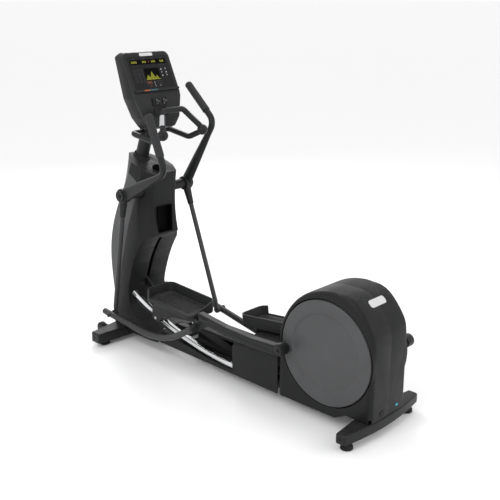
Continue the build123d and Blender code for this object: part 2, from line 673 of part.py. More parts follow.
for name, s in SIDES.items():
    frame = ARM_FRAME[name]
    with BuildPart() as arm:
        with BuildSketch(side_plane(s * ARM_IN, frame)):
            outline(BEAM, 8)
        extrude(amount=outward(s, ARM_OUT - ARM_IN))
        fillet(edges().filter_by(lambda e: abs(abs(e.center().Y) - ARM_OUT) < 0.1), 9)
        fillet(edges().filter_by(lambda e: abs(abs(e.center().Y) - ARM_IN) < 0.1), 9)
        bar_y(s, ARM_IN, ARM_OUT + 2, pin_on_arm, 34, frame)
        bar_y(s, ARM_OUT + 2, ARM_OUT + 9, pin_on_arm, 27, frame)
        with BuildSketch(side_plane(s * TOE_IN, frame)):
            outline(TOE, 9)
        extrude(amount=outward(s, TOE_OUT - TOE_IN))
        with BuildSketch(side_plane(s * (TOE_OUT - 8), frame)):
            outline(EAR, 6)
            with Locations(joint_on_arm):
                Circle(21)
        extrude(amount=outward(s, 22))
        bar_y(s, TOE_IN - 5, TOE_OUT + 10, (0, 0), 9 + RUNNING, frame, Mode.SUBTRACT)
    save(arm, f"pedal_arm_{name}")

    # Tray frame: its own pivot is the middle of the floor.
    floor_at = on_arm([PEDAL_FLOOR])[0]
    floor_x, _, floor_z = in_frame((floor_at[0], 0, floor_at[1]), frame)
    tray = (floor_x, floor_z, frame[2] + PEDAL_PITCH)
    middle_y = s * (PEDAL_IN + PEDAL_OUT) / 2
    with BuildPart() as pedal:
        with BuildSketch(deck_plane(-FLOOR_T, tray)):
            with Locations((0, middle_y)):
                RectangleRounded(PEDAL_LENGTH, PEDAL_OUT - PEDAL_IN, 46)
        extrude(amount=FLOOR_T + WALL_H)
        fillet(edges().group_by(lambda e: e.center().Z)[0], 5)
        with BuildSketch(deck_plane(0, tray)):
            with Locations((0, middle_y)):
                RectangleRounded(PEDAL_LENGTH - 2 * TRAY_WALL, PEDAL_OUT - PEDAL_IN - 2 * TRAY_WALL, 38)
        extrude(amount=WALL_H + 5, mode=Mode.SUBTRACT)
        # The rim falls from the inner side to the outer side behind the toe.
        across = Plane(origin=in_frame((-158, 0, 0), tray), x_dir=(0, 1, 0),
                       z_dir=(cos(radians(tray[2])), 0, sin(radians(tray[2]))))
        with BuildSketch(across):
            outline([(s * 84, WALL_H + 20), (s * 84, WALL_H - 2), (s * 216, LOW_WALL_H + 4),
                     (s * 238, LOW_WALL_H), (s * 280, LOW_WALL_H), (s * 280, WALL_H + 20)])
        extrude(amount=PEDAL_LENGTH, mode=Mode.SUBTRACT)
    save(pedal, f"pedal_{name}")

    with BuildPart() as mat:
        with BuildSketch(deck_plane(0, tray)):
            with Locations((0, middle_y)):
                RectangleRounded(PEDAL_LENGTH - 2 * TRAY_WALL - 8,
                                 PEDAL_OUT - PEDAL_IN - 2 * TRAY_WALL - 8, 34)
        extrude(amount=5)
        with BuildSketch(deck_plane(2.5, tray)):
            with Locations((0, middle_y)):
                with GridLocations(0, 13, 1, 11):
                    SlotOverall(290, 5.5)
        extrude(amount=10, mode=Mode.SUBTRACT)
    save(mat, f"pedal_mat_{name}")

# ---------------------------------------------------------------- swing levers
MID = (180, 267, 136)
BLADE_END = (288, 273, 228)
ELBOW = (362, 281, 288)
TOP = (207, 310, 562)
TUBE_R = 19
GRIP_R = 23
SOCKET_TOP, SOCKET_END = 30, 138
EYE_R = 21
PIN_R = 8
SHAFT_R = 14


def rod_line(depth):
    """Point on the rod's axis at a depth below the hub."""
    return (0, ROD_TOP_Y + (ROD_END_Y - ROD_TOP_Y) * depth / ROD_LENGTH, -depth)


for name, s in SIDES.items():
    frame = LEVER_FRAME[name]

    def place(point):
        return Vector(*in_frame((point[0], s * point[1], point[2]), frame))

    hub_y = (HUB_IN + HUB_OUT) / 2
    run = place(BLADE_END) - place((0, hub_y, 0))
    with BuildPart() as lever:
        bar_y(s, HUB_IN, HUB_OUT, (0, 0), 43, frame)
        fillet(edges().filter_by(GeomType.CIRCLE), 5)
        bar_y(s, HUB_OUT, HUB_OUT + 9, (0, 0), 34, frame)
        for stations in (((0.03, 78, 36), (0.5, 62, 36)),
                         ((0.5, 62, 36), (0.8, 48, 38)),
                         ((0.8, 48, 38), (1, 38, 38))):
            blade = []
            for share, width, thickness in stations:
                start = place((0, hub_y, 0)) + run * share
                with BuildSketch(Plane(origin=start, x_dir=(0, 1, 0), z_dir=run)) as section:
                    Ellipse(thickness / 2, width / 2)
                blade.append(section.sketch)
            loft(blade)
        with BuildLine() as route:
            FilletPolyline(place((0, hub_y, 0)) + run, place(ELBOW), place(TOP), radius=62)
        with BuildSketch(Plane(origin=route.line @ 0, z_dir=route.line % 0)) as tube_section:
            Circle(TUBE_R)
        sweep(tube_section.sketch, path=route.line)
        rod_between(place(rod_line(SOCKET_TOP)), place(rod_line(SOCKET_END)), 24.5, 18)
        bar_y(s, HUB_IN - 5, HUB_OUT - 4, (0, 0), SHAFT_R + RUNNING, frame, Mode.SUBTRACT)
    save(lever, f"swing_lever_{name}")

    top_run = place(TOP) - place(ELBOW)
    grip_start = place(ELBOW) + top_run * 0.30
    with BuildPart() as grip:
        with BuildSketch(Plane(origin=grip_start, z_dir=top_run)):
            Circle(GRIP_R)
            Circle(TUBE_R, mode=Mode.SUBTRACT)
        extrude(amount=(place(TOP) - grip_start).length)
        rod_between(place(TOP), place(TOP) + top_run.normalized() * 16, GRIP_R)
        fillet(edges().filter_by(GeomType.CIRCLE).sort_by(SortBy.DISTANCE)[-1], 14)
    save(grip, f"lever_grip_{name}")

    with BuildPart() as swing_rod:
        rod_between(place(rod_line(SOCKET_END + 1)), place(rod_line(ROD_LENGTH - 52)), 14.5)
        rod_between(place(rod_line(ROD_LENGTH - 52)), place(rod_line(ROD_LENGTH - 14)), 14.5, 9)
        bar_y(s, ROD_END_Y - 11, ROD_END_Y + 11, (0, -ROD_LENGTH), EYE_R, frame)
        bar_y(s, ROD_END_Y, LINK_Y + 22, (0, -ROD_LENGTH), PIN_R, frame)
        bar_y(s, LINK_Y + TUBE_R + FIT + 1, LINK_Y + 26, (0, -ROD_LENGTH), 14, frame)
    save(swing_rod, f"swing_rod_{name}")

# ---------------------------------------------------------------- link tubes
LINK_R = 19
LINK_NOSE = (-62, 4)
LINK_BEND = (495, -50)
joint_on_link = (ARM_JOINT[0] - rod_end_front[0], ARM_JOINT[1] - rod_end_front[1])

for name, s in SIDES.items():
    frame = LINK_FRAME[name]
    line_points = (LINK_NOSE, LINK_BEND, joint_on_link)
    nose, bend, eye = [Vector(*in_frame((p[0], s * LINK_Y, p[1]), frame)) for p in line_points]
    with BuildPart() as link:
        with BuildLine() as route:
            FilletPolyline(nose, bend, eye, radius=560)
        with BuildSketch(Plane(origin=route.line @ 0, z_dir=route.line % 0)) as tube_section:
            Circle(LINK_R)
        sweep(tube_section.sketch, path=route.line)
        rod_between(nose, nose + (nose - bend).normalized() * 12, LINK_R)
        fillet(edges().filter_by(GeomType.CIRCLE).sort_by(Axis.X)[0], 11)
        bar_y(s, ARM_OUT - 6.5 + FIT, LINK_Y + LINK_R + 1, joint_on_link, EYE_R + 1, frame)
        bar_y(s, LINK_Y + LINK_R, LINK_Y + LINK_R + 7, joint_on_link, 14, frame)
        fillet(edges().filter_by(GeomType.CIRCLE).sort_by(lambda e: abs(e.center().Y))[-1], 4)
        bar_y(s, LINK_Y - LINK_R - 5, LINK_Y + LINK_R + 5, (0, 0), PIN_R + RUNNING, frame, Mode.SUBTRACT)
    save(link, f"link_tube_{name}")

with BuildPart() as pivot_tube:
    bar_y(1, -(HUB_IN - FIT), HUB_IN - FIT, HUB, 30)
    bar_y(1, -HUB_IN, HUB_IN, HUB, SHAFT_R, mode=Mode.SUBTRACT)
save(pivot_tube, "pivot_tube")

with BuildPart() as pivot_shaft:
    bar_y(1, -(HUB_OUT - 5), HUB_OUT - 5, HUB, SHAFT_R)
save(pivot_shaft, "pivot_shaft")

# ---------------------------------------------------------------- tower covers
# Height, front corner, nose, half width, nose half width, rear face, rear half width.
TOWER_SECTIONS = (
    (60, -992, 50, 152, 62, -535, 140),
    (500, -988, 52, 150, 60, -560, 116),
    (763, -952, 58, 145, 56, -628, 100),
    (980, -860, 88, 132, 50, -628, 92),
    (1220, -768, 124, 116, 46, -590, 84),
)


def tower_block(inset):
    """Solid of the tower drawn in by a distance, as a loft of rounded plans."""
    plans = []
    for height, corner, nose, half, nose_half, rear, rear_half in TOWER_SECTIONS:
        front, side, back = corner - nose + inset, half - inset, rear - inset
        with BuildSketch(Plane.XY.offset(height)) as plan:
            outline([(front, -nose_half), (corner, -side), (back - 78, -side), (back, -(rear_half - inset)),
                     (back, rear_half - inset), (back - 78, side), (corner, side), (front, nose_half)], 16)
        plans.append(plan.sketch)
    return loft(plans, mode=Mode.PRIVATE)


def tower_profile(inset):
    """Side view that the tower keeps: sloping top, cut-under rear and toe."""
    with BuildLine() as rim:
        Polyline((-1100, 62 + inset), (-1100, 1263 - inset), (-500, 1068 - inset), (-500, 724 + inset))
        Line((-500, 724 + inset), (-645, 724 + inset))
        Spline((-645, 724 + inset), (-742 - inset, 580), (-803 - inset, 430), (-826 - inset, 320),
               (-806 - inset, 225 - inset), (-745, 162 - inset), (-655, 128 - inset), (-562, 113 - inset))
        Polyline((-562, 113 - inset), (-562, 62 + inset), (-1100, 62 + inset))
    make_face(rim.edges())


FRONT_REGION = [(-1200, 205), (-944, 205), (-905, 400), (-882, 500), (-803, 770), (-738, 950), (-732, 1050),
                (-800, 1090), (-1200, 1150)]
BOTTLE = (-664, 0)
BOTTLE_R = 41
RECESS_W, RECESS_H = 112, 164
RECESS_Z = 816




with BuildPart() as tower_cover:
    add(tower_block(0))
    with BuildSketch(side_plane(200)):
        tower_profile(0)
    extrude(amount=400, mode=Mode.INTERSECT)
    with BuildPart(mode=Mode.PRIVATE) as hollow:
        add(tower_block(WALL))
        with BuildSketch(side_plane(200)):
            tower_profile(WALL)
        extrude(amount=400, mode=Mode.INTERSECT)
    add(hollow.part, mode=Mode.SUBTRACT)
    with BuildSketch(side_plane(200)):
        outline(FRONT_REGION)
        offset(amount=0.6)
    extrude(amount=400, mode=Mode.SUBTRACT)
    # Open underneath, and clear of the beams and the front stabiliser.
    with BuildSketch(Plane.XY.offset(50)):
        with Locations((-800, 0)):
            Rectangle(600, 2 * (BODY_Y - 12))
    extrude(amount=30, mode=Mode.SUBTRACT)
    with BuildSketch(Plane.XY.offset(50)):
        with Locations((-650, 0)):
            Rectangle(260, 2 * (BEAM_OUT + 4))
    extrude(amount=BEAM_HIGH + 3 - 50, mode=Mode.SUBTRACT)
    with BuildSketch(Plane.XY.offset(50)):
        with Locations((-970, 0)):
            Rectangle(250, 2 * BODY_Y + 20)
    extrude(amount=FRONT_BAR_HIGH + FIT - 50, mode=Mode.SUBTRACT)
    # Slot for the lift lug, and the ways in for the shaft, mast, cup and tray.
    with BuildSketch(side_plane(13)):
        outline([(-900, 345), (-650, 345), (-620, 690), (-760, 690), (-860, 500)], 10)
    extrude(amount=26, mode=Mode.SUBTRACT)
    bar_y(1, -200, 200, HUB, 34, mode=Mode.SUBTRACT)
    with BuildSketch(mast_plane(1000)):
        Ellipse(MAST_X / 2 + 0.5, MAST_Y / 2 + 0.5)
    extrude(amount=400, mode=Mode.SUBTRACT)
    with BuildSketch(Plane.XY.offset(1035)):
        with Locations(BOTTLE):
            Circle(BOTTLE_R + FIT)
    extrude(amount=200, mode=Mode.SUBTRACT)
    with BuildSketch(Plane.YZ.offset(-650)):
        with Locations((0, RECESS_Z)):
            Rectangle(RECESS_W + 0.6, RECESS_H + 0.6)
    extrude(amount=60, mode=Mode.SUBTRACT)
save(tower_cover, "tower_cover")

with BuildPart() as front_cover:
    add(tower_block(0))
    with BuildSketch(side_plane(200)):
        outline(FRONT_REGION)
    extrude(amount=400, mode=Mode.INTERSECT)
    add(tower_block(WALL), mode=Mode.SUBTRACT)
save(front_cover, "front_cover")

with BuildPart() as bottle_holder:
    with BuildSketch(Plane.XY.offset(1042)):
        with Locations(BOTTLE):
            Circle(BOTTLE_R)
    extrude(amount=98)
    with BuildSketch(Plane.XY.offset(1045)):
        with Locations(BOTTLE):
            Circle(BOTTLE_R - 3)
    extrude(amount=100, mode=Mode.SUBTRACT)
    fillet(edges().filter_by(GeomType.CIRCLE).group_by(Axis.Z)[-1], 1.2)
save(bottle_holder, "bottle_holder")

with BuildPart() as storage_tray:
    with BuildSketch(Plane.YZ.offset(-662)):
        with Locations((0, RECESS_Z)):
            Rectangle(RECESS_W, RECESS_H)
    extrude(amount=38)
    with BuildSketch(Plane.YZ.offset(-659.5)):
        with Locations((0, RECESS_Z)):
            RectangleRounded(RECESS_W - 5, RECESS_H - 5, 6)
    extrude(amount=60, mode=Mode.SUBTRACT)
save(storage_tray, "storage_tray")

# ---------------------------------------------------------------- mast and handlebar
with BuildPart() as mast:
    with BuildSketch(mast_plane(MAST_LOW_Z)):
        Ellipse(MAST_X / 2, MAST_Y / 2)
        Ellipse(MAST_X / 2 - 3, MAST_Y / 2 - 3, mode=Mode.SUBTRACT)
    extrude(amount=MAST_LENGTH)
save(mast, "mast")

BAR_R = 17
BAR_FRONT = (-735, 137, 1341)
BAR_LOW = (-545, 137, 1311)
BAR_REAR = (-436, 160, 1362)
BAR_TOP = (-530, 78, 1484)


def across(point):
    return (point[0], -point[1], point[2])


with BuildPart() as handlebar:
    with BuildLine() as route:
        FilletPolyline((-762, 8, 1336), BAR_FRONT, BAR_LOW, BAR_REAR, BAR_TOP,
                       across(BAR_TOP), across(BAR_REAR), across(BAR_LOW), across(BAR_FRONT), (-762, -8, 1336),
                       radius=[34, 60, 30, 30, 30, 30, 60, 34])
    with BuildSketch(Plane(origin=route.line @ 0, z_dir=route.line % 0)) as bar_section:
        Circle(BAR_R)
    sweep(bar_section.sketch, path=route.line)
    for end in (BAR_REAR, across(BAR_REAR)):
        with Locations((end[0] - 8, end[1] * 0.96, end[2])):
            Sphere(31)
    with BuildSketch(mast_plane(1250)):
        Ellipse(MAST_X / 2 + 0.1, MAST_Y / 2 + 0.1)
    extrude(amount=180, mode=Mode.SUBTRACT)
save(handlebar, "handlebar")

with BuildPart() as contact_plates:
    for end, top in ((BAR_REAR, BAR_TOP), (across(BAR_REAR), across(BAR_TOP))):
        run = Vector(*end) - Vector(*top)
        outboard = Vector(0, 1 if end[1] > 0 else -1, 0)
        start = Vector(*top) + run * 0.24
        with BuildSketch(Plane(origin=start, x_dir=run.cross(outboard), z_dir=run)):
            Circle(BAR_R + 2.2)
            Circle(BAR_R + 0.1, mode=Mode.SUBTRACT)
            with Locations((0, 20)):
                Rectangle(60, 40, mode=Mode.SUBTRACT)
        extrude(amount=run.length * 0.42)
save(contact_plates, "contact_plates")

# ---------------------------------------------------------------- console
FACE_TOP = (-762, TOP_Z)
FACE_LEDGE = (-657, 1571)
FACE_LOBE = (-620, 1428)
CONSOLE_HALF = 171
face_run = Vector(FACE_TOP[0] - FACE_LEDGE[0], 0, FACE_TOP[1] - FACE_LEDGE[1]).normalized()
lobe_run = Vector(FACE_LEDGE[0] - FACE_LOBE[0], 0, FACE_LEDGE[1] - FACE_LOBE[1]).normalized()
face_mid = ((FACE_TOP[0] + FACE_LEDGE[0]) / 2, 0, (FACE_TOP[1] + FACE_LEDGE[1]) / 2)
SCREEN_PLANE = Plane(origin=face_mid, x_dir=(0, 1, 0), z_dir=(face_run.Z, 0, -face_run.X))
LOBE_PLANE = Plane(origin=(FACE_LEDGE[0], 0, FACE_LEDGE[1]), x_dir=(0, 1, 0),
                   z_dir=(lobe_run.Z, 0, -lobe_run.X))
SCREEN_W, SCREEN_H = 298, 196
PADDLE_Y = 27
PADDLE_V = -50  # below the ledge, along the lower face
PADDLE_R = 8
POD_T = 13
TRAY_V = -108


def console_block(inset):
    """Rounded console body, drawn in by a distance."""
    with BuildPart(mode=Mode.PRIVATE) as body:
        with BuildSketch(side_plane(200)):
            outline([FACE_TOP, FACE_LEDGE, FACE_LOBE, (-634, 1374), (-656, 1361), (-700, 1361), (-742, 1430),
                     (-764, 1550), (-828, 1774), (-806, TOP_Z)], 10)
            if inset:
                offset(amount=-inset)
        extrude(amount=400)
        with BuildSketch(Plane.YZ.offset(-900)):
            outline([(CONSOLE_HALF, TOP_Z + 1), (CONSOLE_HALF, 1545), (133, 1430), (104, 1361),
                     (-104, 1361),
                     (-133, 1430), (-CONSOLE_HALF, 1545), (-CONSOLE_HALF, TOP_Z + 1)], 36)
            if inset:
                offset(amount=-inset)
        extrude(amount=400, mode=Mode.INTERSECT)
    return body.part


FACE_REGION = [(-784, 1850), (-779, 1795), (-674, 1567), (-637, 1426),
               (-655, 1340), (-500, 1340), (-500, 1850)]

with BuildPart() as console_face:
    add(console_block(0))
    with BuildSketch(side_plane(200)):
        outline(FACE_REGION)
    extrude(amount=400, mode=Mode.INTERSECT)
    # Ledge under the display.
    with BuildSketch(SCREEN_PLANE):
        with Locations((0, -110)):
            RectangleRounded(326, 13, 5)
    extrude(amount=16)
    with BuildSketch(SCREEN_PLANE.offset(-2.5)):
        with Locations((0, 2)):
            RectangleRounded(SCREEN_W + 0.4, SCREEN_H + 0.4, 12)
    extrude(amount=30, mode=Mode.SUBTRACT)
    # Pod with a saddle for each paddle, and the small tray below it.
    with BuildSketch(LOBE_PLANE):
        with Locations((0, PADDLE_V)):
            RectangleRounded(108, 44, 8)
    extrude(amount=POD_T)
    for y in (-PADDLE_Y, PADDLE_Y):
        with BuildSketch(Plane(origin=(0, y - 11, 0), x_dir=(1, 0, 0), z_dir=(0, 1, 0))) as saddle:
            with Locations((LOBE_PLANE.from_local_coords((0, PADDLE_V, POD_T)).X,
                            -LOBE_PLANE.from_local_coords((0, PADDLE_V, POD_T)).Z)):
                Circle(PADDLE_R + 0.4)
        extrude(amount=22, mode=Mode.SUBTRACT)
    with BuildSketch(LOBE_PLANE):
        with Locations((0, TRAY_V)):
            RectangleRounded(104, 60, 22)
    extrude(amount=5)
    with BuildSketch(LOBE_PLANE.offset(-9)):
        with Locations((0, TRAY_V)):
            RectangleRounded(94, 50, 19)
    extrude(amount=30, mode=Mode.SUBTRACT)
save(console_face, "console_face")

with BuildPart() as console_shell:
    add(console_block(0))
    add(console_block(WALL), mode=Mode.SUBTRACT)
    with BuildSketch(side_plane(200)):
        outline(FACE_REGION)
    extrude(amount=400, mode=Mode.SUBTRACT)
    with BuildSketch(mast_plane(1200)):
        Ellipse(MAST_X / 2 + 0.5, MAST_Y / 2 + 0.5)
    extrude(amount=MAST_LENGTH, mode=Mode.SUBTRACT)
save(console_shell, "console_shell")

with BuildPart() as display_panel:
    with BuildSketch(SCREEN_PLANE.offset(-2.5)):
        with Locations((0, 2)):
            RectangleRounded(SCREEN_W, SCREEN_H, 12)
    extrude(amount=3)
save(display_panel, "display_panel")

for name, y in (("resistance", -PADDLE_Y), ("incline", PADDLE_Y)):
    hinge_at = LOBE_PLANE.from_local_coords((0, PADDLE_V, POD_T))
    with BuildPart() as paddle:
        with BuildSketch(Plane(origin=(0, y - 10, 0), x_dir=(1, 0, 0), z_dir=(0, 1, 0))):
            with Locations((hinge_at.X, -hinge_at.Z)):
                Circle(PADDLE_R)
        extrude(amount=20)
        with BuildSketch(LOBE_PLANE.offset(POD_T)):
            with Locations((y, PADDLE_V)):
                RectangleRounded(20, 7, 3)
        extrude(amount=17)
    save(paddle, f"{name}_paddle")

with BuildPart() as badges:
    with BuildSketch(BADGE_SEAT.offset(0.1)):
        RectangleRounded(BADGE_W, BADGE_H, 14)
    extrude(amount=3.4)
    with BuildSketch(SCREEN_PLANE):
        with Locations((0, 111)):
            RectangleRounded(98, 19, 7)
    extrude(amount=1.6)
save(badges, "badges")
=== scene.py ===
# %% [markdown]
# # An elliptical trainer
# The real machine is a welded steel frame under moulded covers. A crank with two large discs turns inside the rear
# housing, two pedal arms hang from it and roll on curved chrome rails, and two levers swing at the tower.
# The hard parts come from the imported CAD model, which is the fixed frame of the scene: their shapes and places are
# right already. What is left to do here is the look: soft moulded edges, the finish of each material, and the small
# parts and prints that a person meets up close. A sculpted copy of the covers would drift from the joints, so the
# CAD nodes stay, and modifiers soften them without touching their meshes. Everything is in metres.

# %% Load the frame
import json
import math

import bmesh
import bpy
from mathutils import Matrix, Vector


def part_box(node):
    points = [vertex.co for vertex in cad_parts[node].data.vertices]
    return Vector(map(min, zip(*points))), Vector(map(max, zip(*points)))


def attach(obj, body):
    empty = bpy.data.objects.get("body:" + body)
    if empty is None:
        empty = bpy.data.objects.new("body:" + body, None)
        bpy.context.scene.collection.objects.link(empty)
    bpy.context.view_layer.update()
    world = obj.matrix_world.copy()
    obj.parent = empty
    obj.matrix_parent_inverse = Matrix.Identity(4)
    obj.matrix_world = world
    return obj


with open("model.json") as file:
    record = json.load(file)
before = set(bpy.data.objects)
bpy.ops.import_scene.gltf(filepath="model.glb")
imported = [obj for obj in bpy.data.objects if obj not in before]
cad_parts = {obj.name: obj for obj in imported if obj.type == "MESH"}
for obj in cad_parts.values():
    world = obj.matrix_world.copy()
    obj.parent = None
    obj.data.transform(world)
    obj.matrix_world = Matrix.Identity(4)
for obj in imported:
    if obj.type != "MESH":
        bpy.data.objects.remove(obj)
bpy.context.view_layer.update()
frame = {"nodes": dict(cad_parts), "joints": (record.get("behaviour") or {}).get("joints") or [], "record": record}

nodes = frame["nodes"]

# %% [markdown]
# ## Effects shared by the finishes
# Moulded plastic has a fine spark-eroded grain, handled surfaces scuff, and dust settles on what faces up. Each is
# an effect that many finishes share, so each is one shader node group with named sockets. Painting them into image
# textures would also work, but a procedural group has no seams and no fixed resolution. A group gives out only
# masks and heights; the shader itself stays in each material.

# %% A small kit for node trees
def new_group(name, inputs, outputs):
    """An empty node group with float or vector sockets, its input node and its output node."""
    tree = bpy.data.node_groups.new(name, "ShaderNodeTree")
    for label, kind, value in inputs:
        socket = tree.interface.new_socket(label, in_out="INPUT", socket_type=kind)
        if value is not None:
            socket.default_value = value
    for label in outputs:
        tree.interface.new_socket(label, in_out="OUTPUT", socket_type="NodeSocketFloat")
    return tree, tree.nodes.new("NodeGroupInput"), tree.nodes.new("NodeGroupOutput")


def noise(tree, vector, scale, detail=3.0, roughness=0.5):
    """Noise texture on a vector; returns its value socket."""
    node = tree.nodes.new("ShaderNodeTexNoise")
    node.inputs["Scale"].default_value = scale
    node.inputs["Detail"].default_value = detail
    node.inputs["Roughness"].default_value = roughness
    tree.links.new(vector, node.inputs["Vector"])
    return node.outputs["Fac"]


def math_node(tree, operation, a, b=0.0):
    """One math step on sockets or numbers."""
    node = tree.nodes.new("ShaderNodeMath")
    node.operation = operation
    for socket, value in zip(node.inputs, (a, b)):
        if isinstance(value, (int, float)):
            socket.default_value = value
        else:
            tree.links.new(value, socket)
    return node.outputs[0]


def remap(tree, value, low, high, to_low=0.0, to_high=1.0):
    """Straight-line change of range, held at its ends."""
    node = tree.nodes.new("ShaderNodeMapRange")
    for label, number in (("From Min", low), ("From Max", high), ("To Min", to_low), ("To Max", to_high)):
        node.inputs[label].default_value = number
    tree.links.new(value, node.inputs["Value"])
    return node.outputs["Result"]


def stretch(tree, vector, factors):
    """The vector scaled by a factor on each axis."""
    node = tree.nodes.new("ShaderNodeVectorMath")
    node.operation = "MULTIPLY"
    node.inputs[1].default_value = factors
    tree.links.new(vector, node.inputs[0])
    return node.outputs[0]


# %% Moulded grain
VECTOR = ("Vector", "NodeSocketVector", None)
PIT_SCALE, MOTTLE_SCALE = 900, 9  # noise cells per metre: pits about 1 mm apart, tone patches about 11 cm
GRAIN, enter, leave = new_group("moulded grain", [VECTOR], ["Height", "Mottle"])
pits = noise(GRAIN, enter.outputs["Vector"], PIT_SCALE, 2.0, 0.6)
broad = noise(GRAIN, enter.outputs["Vector"], MOTTLE_SCALE, 4.0, 0.55)
GRAIN.links.new(pits, leave.inputs["Height"])
GRAIN.links.new(remap(GRAIN, broad, 0.3, 0.7), leave.inputs["Mottle"])
print("grain group", len(GRAIN.nodes), "nodes")

# %% Scuffs and rubbed streaks
STREAK_STRETCH = (9, 60, 140)  # streaks run long in X and are thin in Z
SCUFF, enter, leave = new_group("scuffs", [VECTOR, ("Amount", "NodeSocketFloat", 0.5)], ["Mask"])
streak = noise(SCUFF, stretch(SCUFF, enter.outputs["Vector"], STREAK_STRETCH), 3, 5.0, 0.7)
patch = noise(SCUFF, enter.outputs["Vector"], 5.5, 3.0)
both = math_node(SCUFF, "MULTIPLY", remap(SCUFF, streak, 0.58, 0.74), remap(SCUFF, patch, 0.48, 0.70))
SCUFF.links.new(math_node(SCUFF, "MULTIPLY", both, enter.outputs["Amount"]), leave.inputs["Mask"])
print("scuff group", len(SCUFF.nodes), "nodes")

# %% Dust on what faces up
DUST, enter, leave = new_group("settled dust", [VECTOR, ("Amount", "NodeSocketFloat", 0.5)], ["Mask"])
surface = DUST.nodes.new("ShaderNodeNewGeometry")
parts = DUST.nodes.new("ShaderNodeSeparateXYZ")
DUST.links.new(surface.outputs["Normal"], parts.inputs[0])
specks = noise(DUST, enter.outputs["Vector"], 60, 6.0, 0.7)
level = remap(DUST, parts.outputs["Z"], 0.55, 0.98)
lying = math_node(DUST, "MULTIPLY", level, remap(DUST, specks, 0.35, 0.75))
DUST.links.new(math_node(DUST, "MULTIPLY", lying, enter.outputs["Amount"]), leave.inputs["Mask"])
print("groups", [group.name for group in (GRAIN, SCUFF, DUST)])

# %% [markdown]
# ## The finishes
# Nearly every finish is the same chain: a base colour that mottles a little, scuffs that lift it, dust that greys
# its top, a roughness that follows the same masks, and a fine bump. Each material could be wired by hand, but one
# function keeps them consistent, and each finish gives it its own numbers. A dozen dark greys then tell apart by
# gloss and grain, as they do on the machine.

# %% Helpers for materials
def mix_colour(tree, factor, a, b):
    """Mix of two colours by a mask socket."""
    node = tree.nodes.new("ShaderNodeMix")
    node.data_type = "RGBA"
    tree.links.new(factor, node.inputs["Factor"])
    for socket, value in ((node.inputs[6], a), (node.inputs[7], b)):
        if isinstance(value, tuple):
            socket.default_value = (*value, 1)
        else:
            tree.links.new(value, socket)
    return node.outputs[2]


def use(tree, group, vector, amount=None):
    """Places a group in a tree and returns its node."""
    node = tree.nodes.new("ShaderNodeGroup")
    node.node_tree = group
    tree.links.new(vector, node.inputs["Vector"])
    if amount is not None:
        node.inputs["Amount"].default_value = amount
    return node


def start_material(name):
    """A material with its node tree, its shader and object coordinates, which stay with a part as it moves."""
    material = bpy.data.materials.new(name)
    material.use_nodes = True
    tree = material.node_tree
    shader = tree.nodes["Principled BSDF"]
    place = tree.nodes.new("ShaderNodeTexCoord").outputs["Object"]
    return material, tree, shader, place


def bump(tree, shader, height, strength, distance):
    """Bends the shader's normal by a height; the distance is how deep the full height is."""
    node = tree.nodes.new("ShaderNodeBump")
    node.inputs["Strength"].default_value = strength
    node.inputs["Distance"].default_value = distance
    tree.links.new(height, node.inputs["Height"])
    tree.links.new(node.outputs["Normal"], shader.inputs["Normal"])


# %% One function for a finish
DUST_COLOUR = (0.11, 0.108, 0.104)
SHADE = 0.86  # how dark the mottle's dark side is
GLOSS_SWING = 0.05  # how far roughness wanders to each side
SCUFF_ROUGHNESS, DUST_ROUGHNESS = 0.12, 0.25  # what full scuffs and full dust add to the roughness


def finish(name, colour, rough, grain=0.25, depth=0.0004, scuff=0.3, dust=0.25, metal=0.0, lift=1.7, shine=0.22,
           relief=None):
    """Solid finish: base colour with mottle, scuffs and dust over it, roughness to match, and a fine bump."""
    material, tree, shader, place = start_material(name)
    mould = use(tree, GRAIN, place)
    rubbed = use(tree, SCUFF, place, scuff)
    dusty = use(tree, DUST, place, dust)
    darker = tuple(c * SHADE for c in colour)
    brighter = tuple(min(c * lift + 0.006, 1) for c in colour)
    base = mix_colour(tree, mould.outputs["Mottle"], darker, colour)
    worn = mix_colour(tree, rubbed.outputs["Mask"], base, brighter)
    tree.links.new(mix_colour(tree, dusty.outputs["Mask"], worn, DUST_COLOUR), shader.inputs["Base Color"])
    gloss = remap(tree, mould.outputs["Mottle"], 0, 1, rough - GLOSS_SWING, rough + GLOSS_SWING)
    gloss = math_node(tree, "ADD", gloss, math_node(tree, "MULTIPLY", rubbed.outputs["Mask"], SCUFF_ROUGHNESS))
    gloss = math_node(tree, "ADD", gloss, math_node(tree, "MULTIPLY", dusty.outputs["Mask"], DUST_ROUGHNESS))
    tree.links.new(gloss, shader.inputs["Roughness"])
    shader.inputs["Metallic"].default_value = metal
    shader.inputs["Specular IOR Level"].default_value = 0.5 if metal else shine
    height = mould.outputs["Height"]
    if relief:
        height = math_node(tree, "ADD", height, relief(tree, place))
    bump(tree, shader, height, grain, depth)
    return material


# %% [markdown]
# ## Reliefs
# Under the fine grain some surfaces have a texture of their own: the low waves of baked paint, the lines of brushed
# steel, the skin of a casting, the raised dots of a soft grip and the ribs of a foot mat. Modelling them would take
# millions of faces for something a fraction of a millimetre high, so each is a height added before the bump.

# %% Surface reliefs
def orange_peel(tree, place):
    """The low waves of baked powder coat."""
    return math_node(tree, "MULTIPLY", noise(tree, place, 260, 1.0), 1.6)


def brushed(tree, place):
    """Fine lines left by a belt, across X and Z."""
    return math_node(tree, "MULTIPLY", noise(tree, stretch(tree, place, (300, 12, 300)), 4, 3.0), 1.2)


def cast_skin(tree, place):
    """The sandy lumps of a casting."""
    return math_node(tree, "MULTIPLY", noise(tree, place, 140, 5.0, 0.7), 3.0)


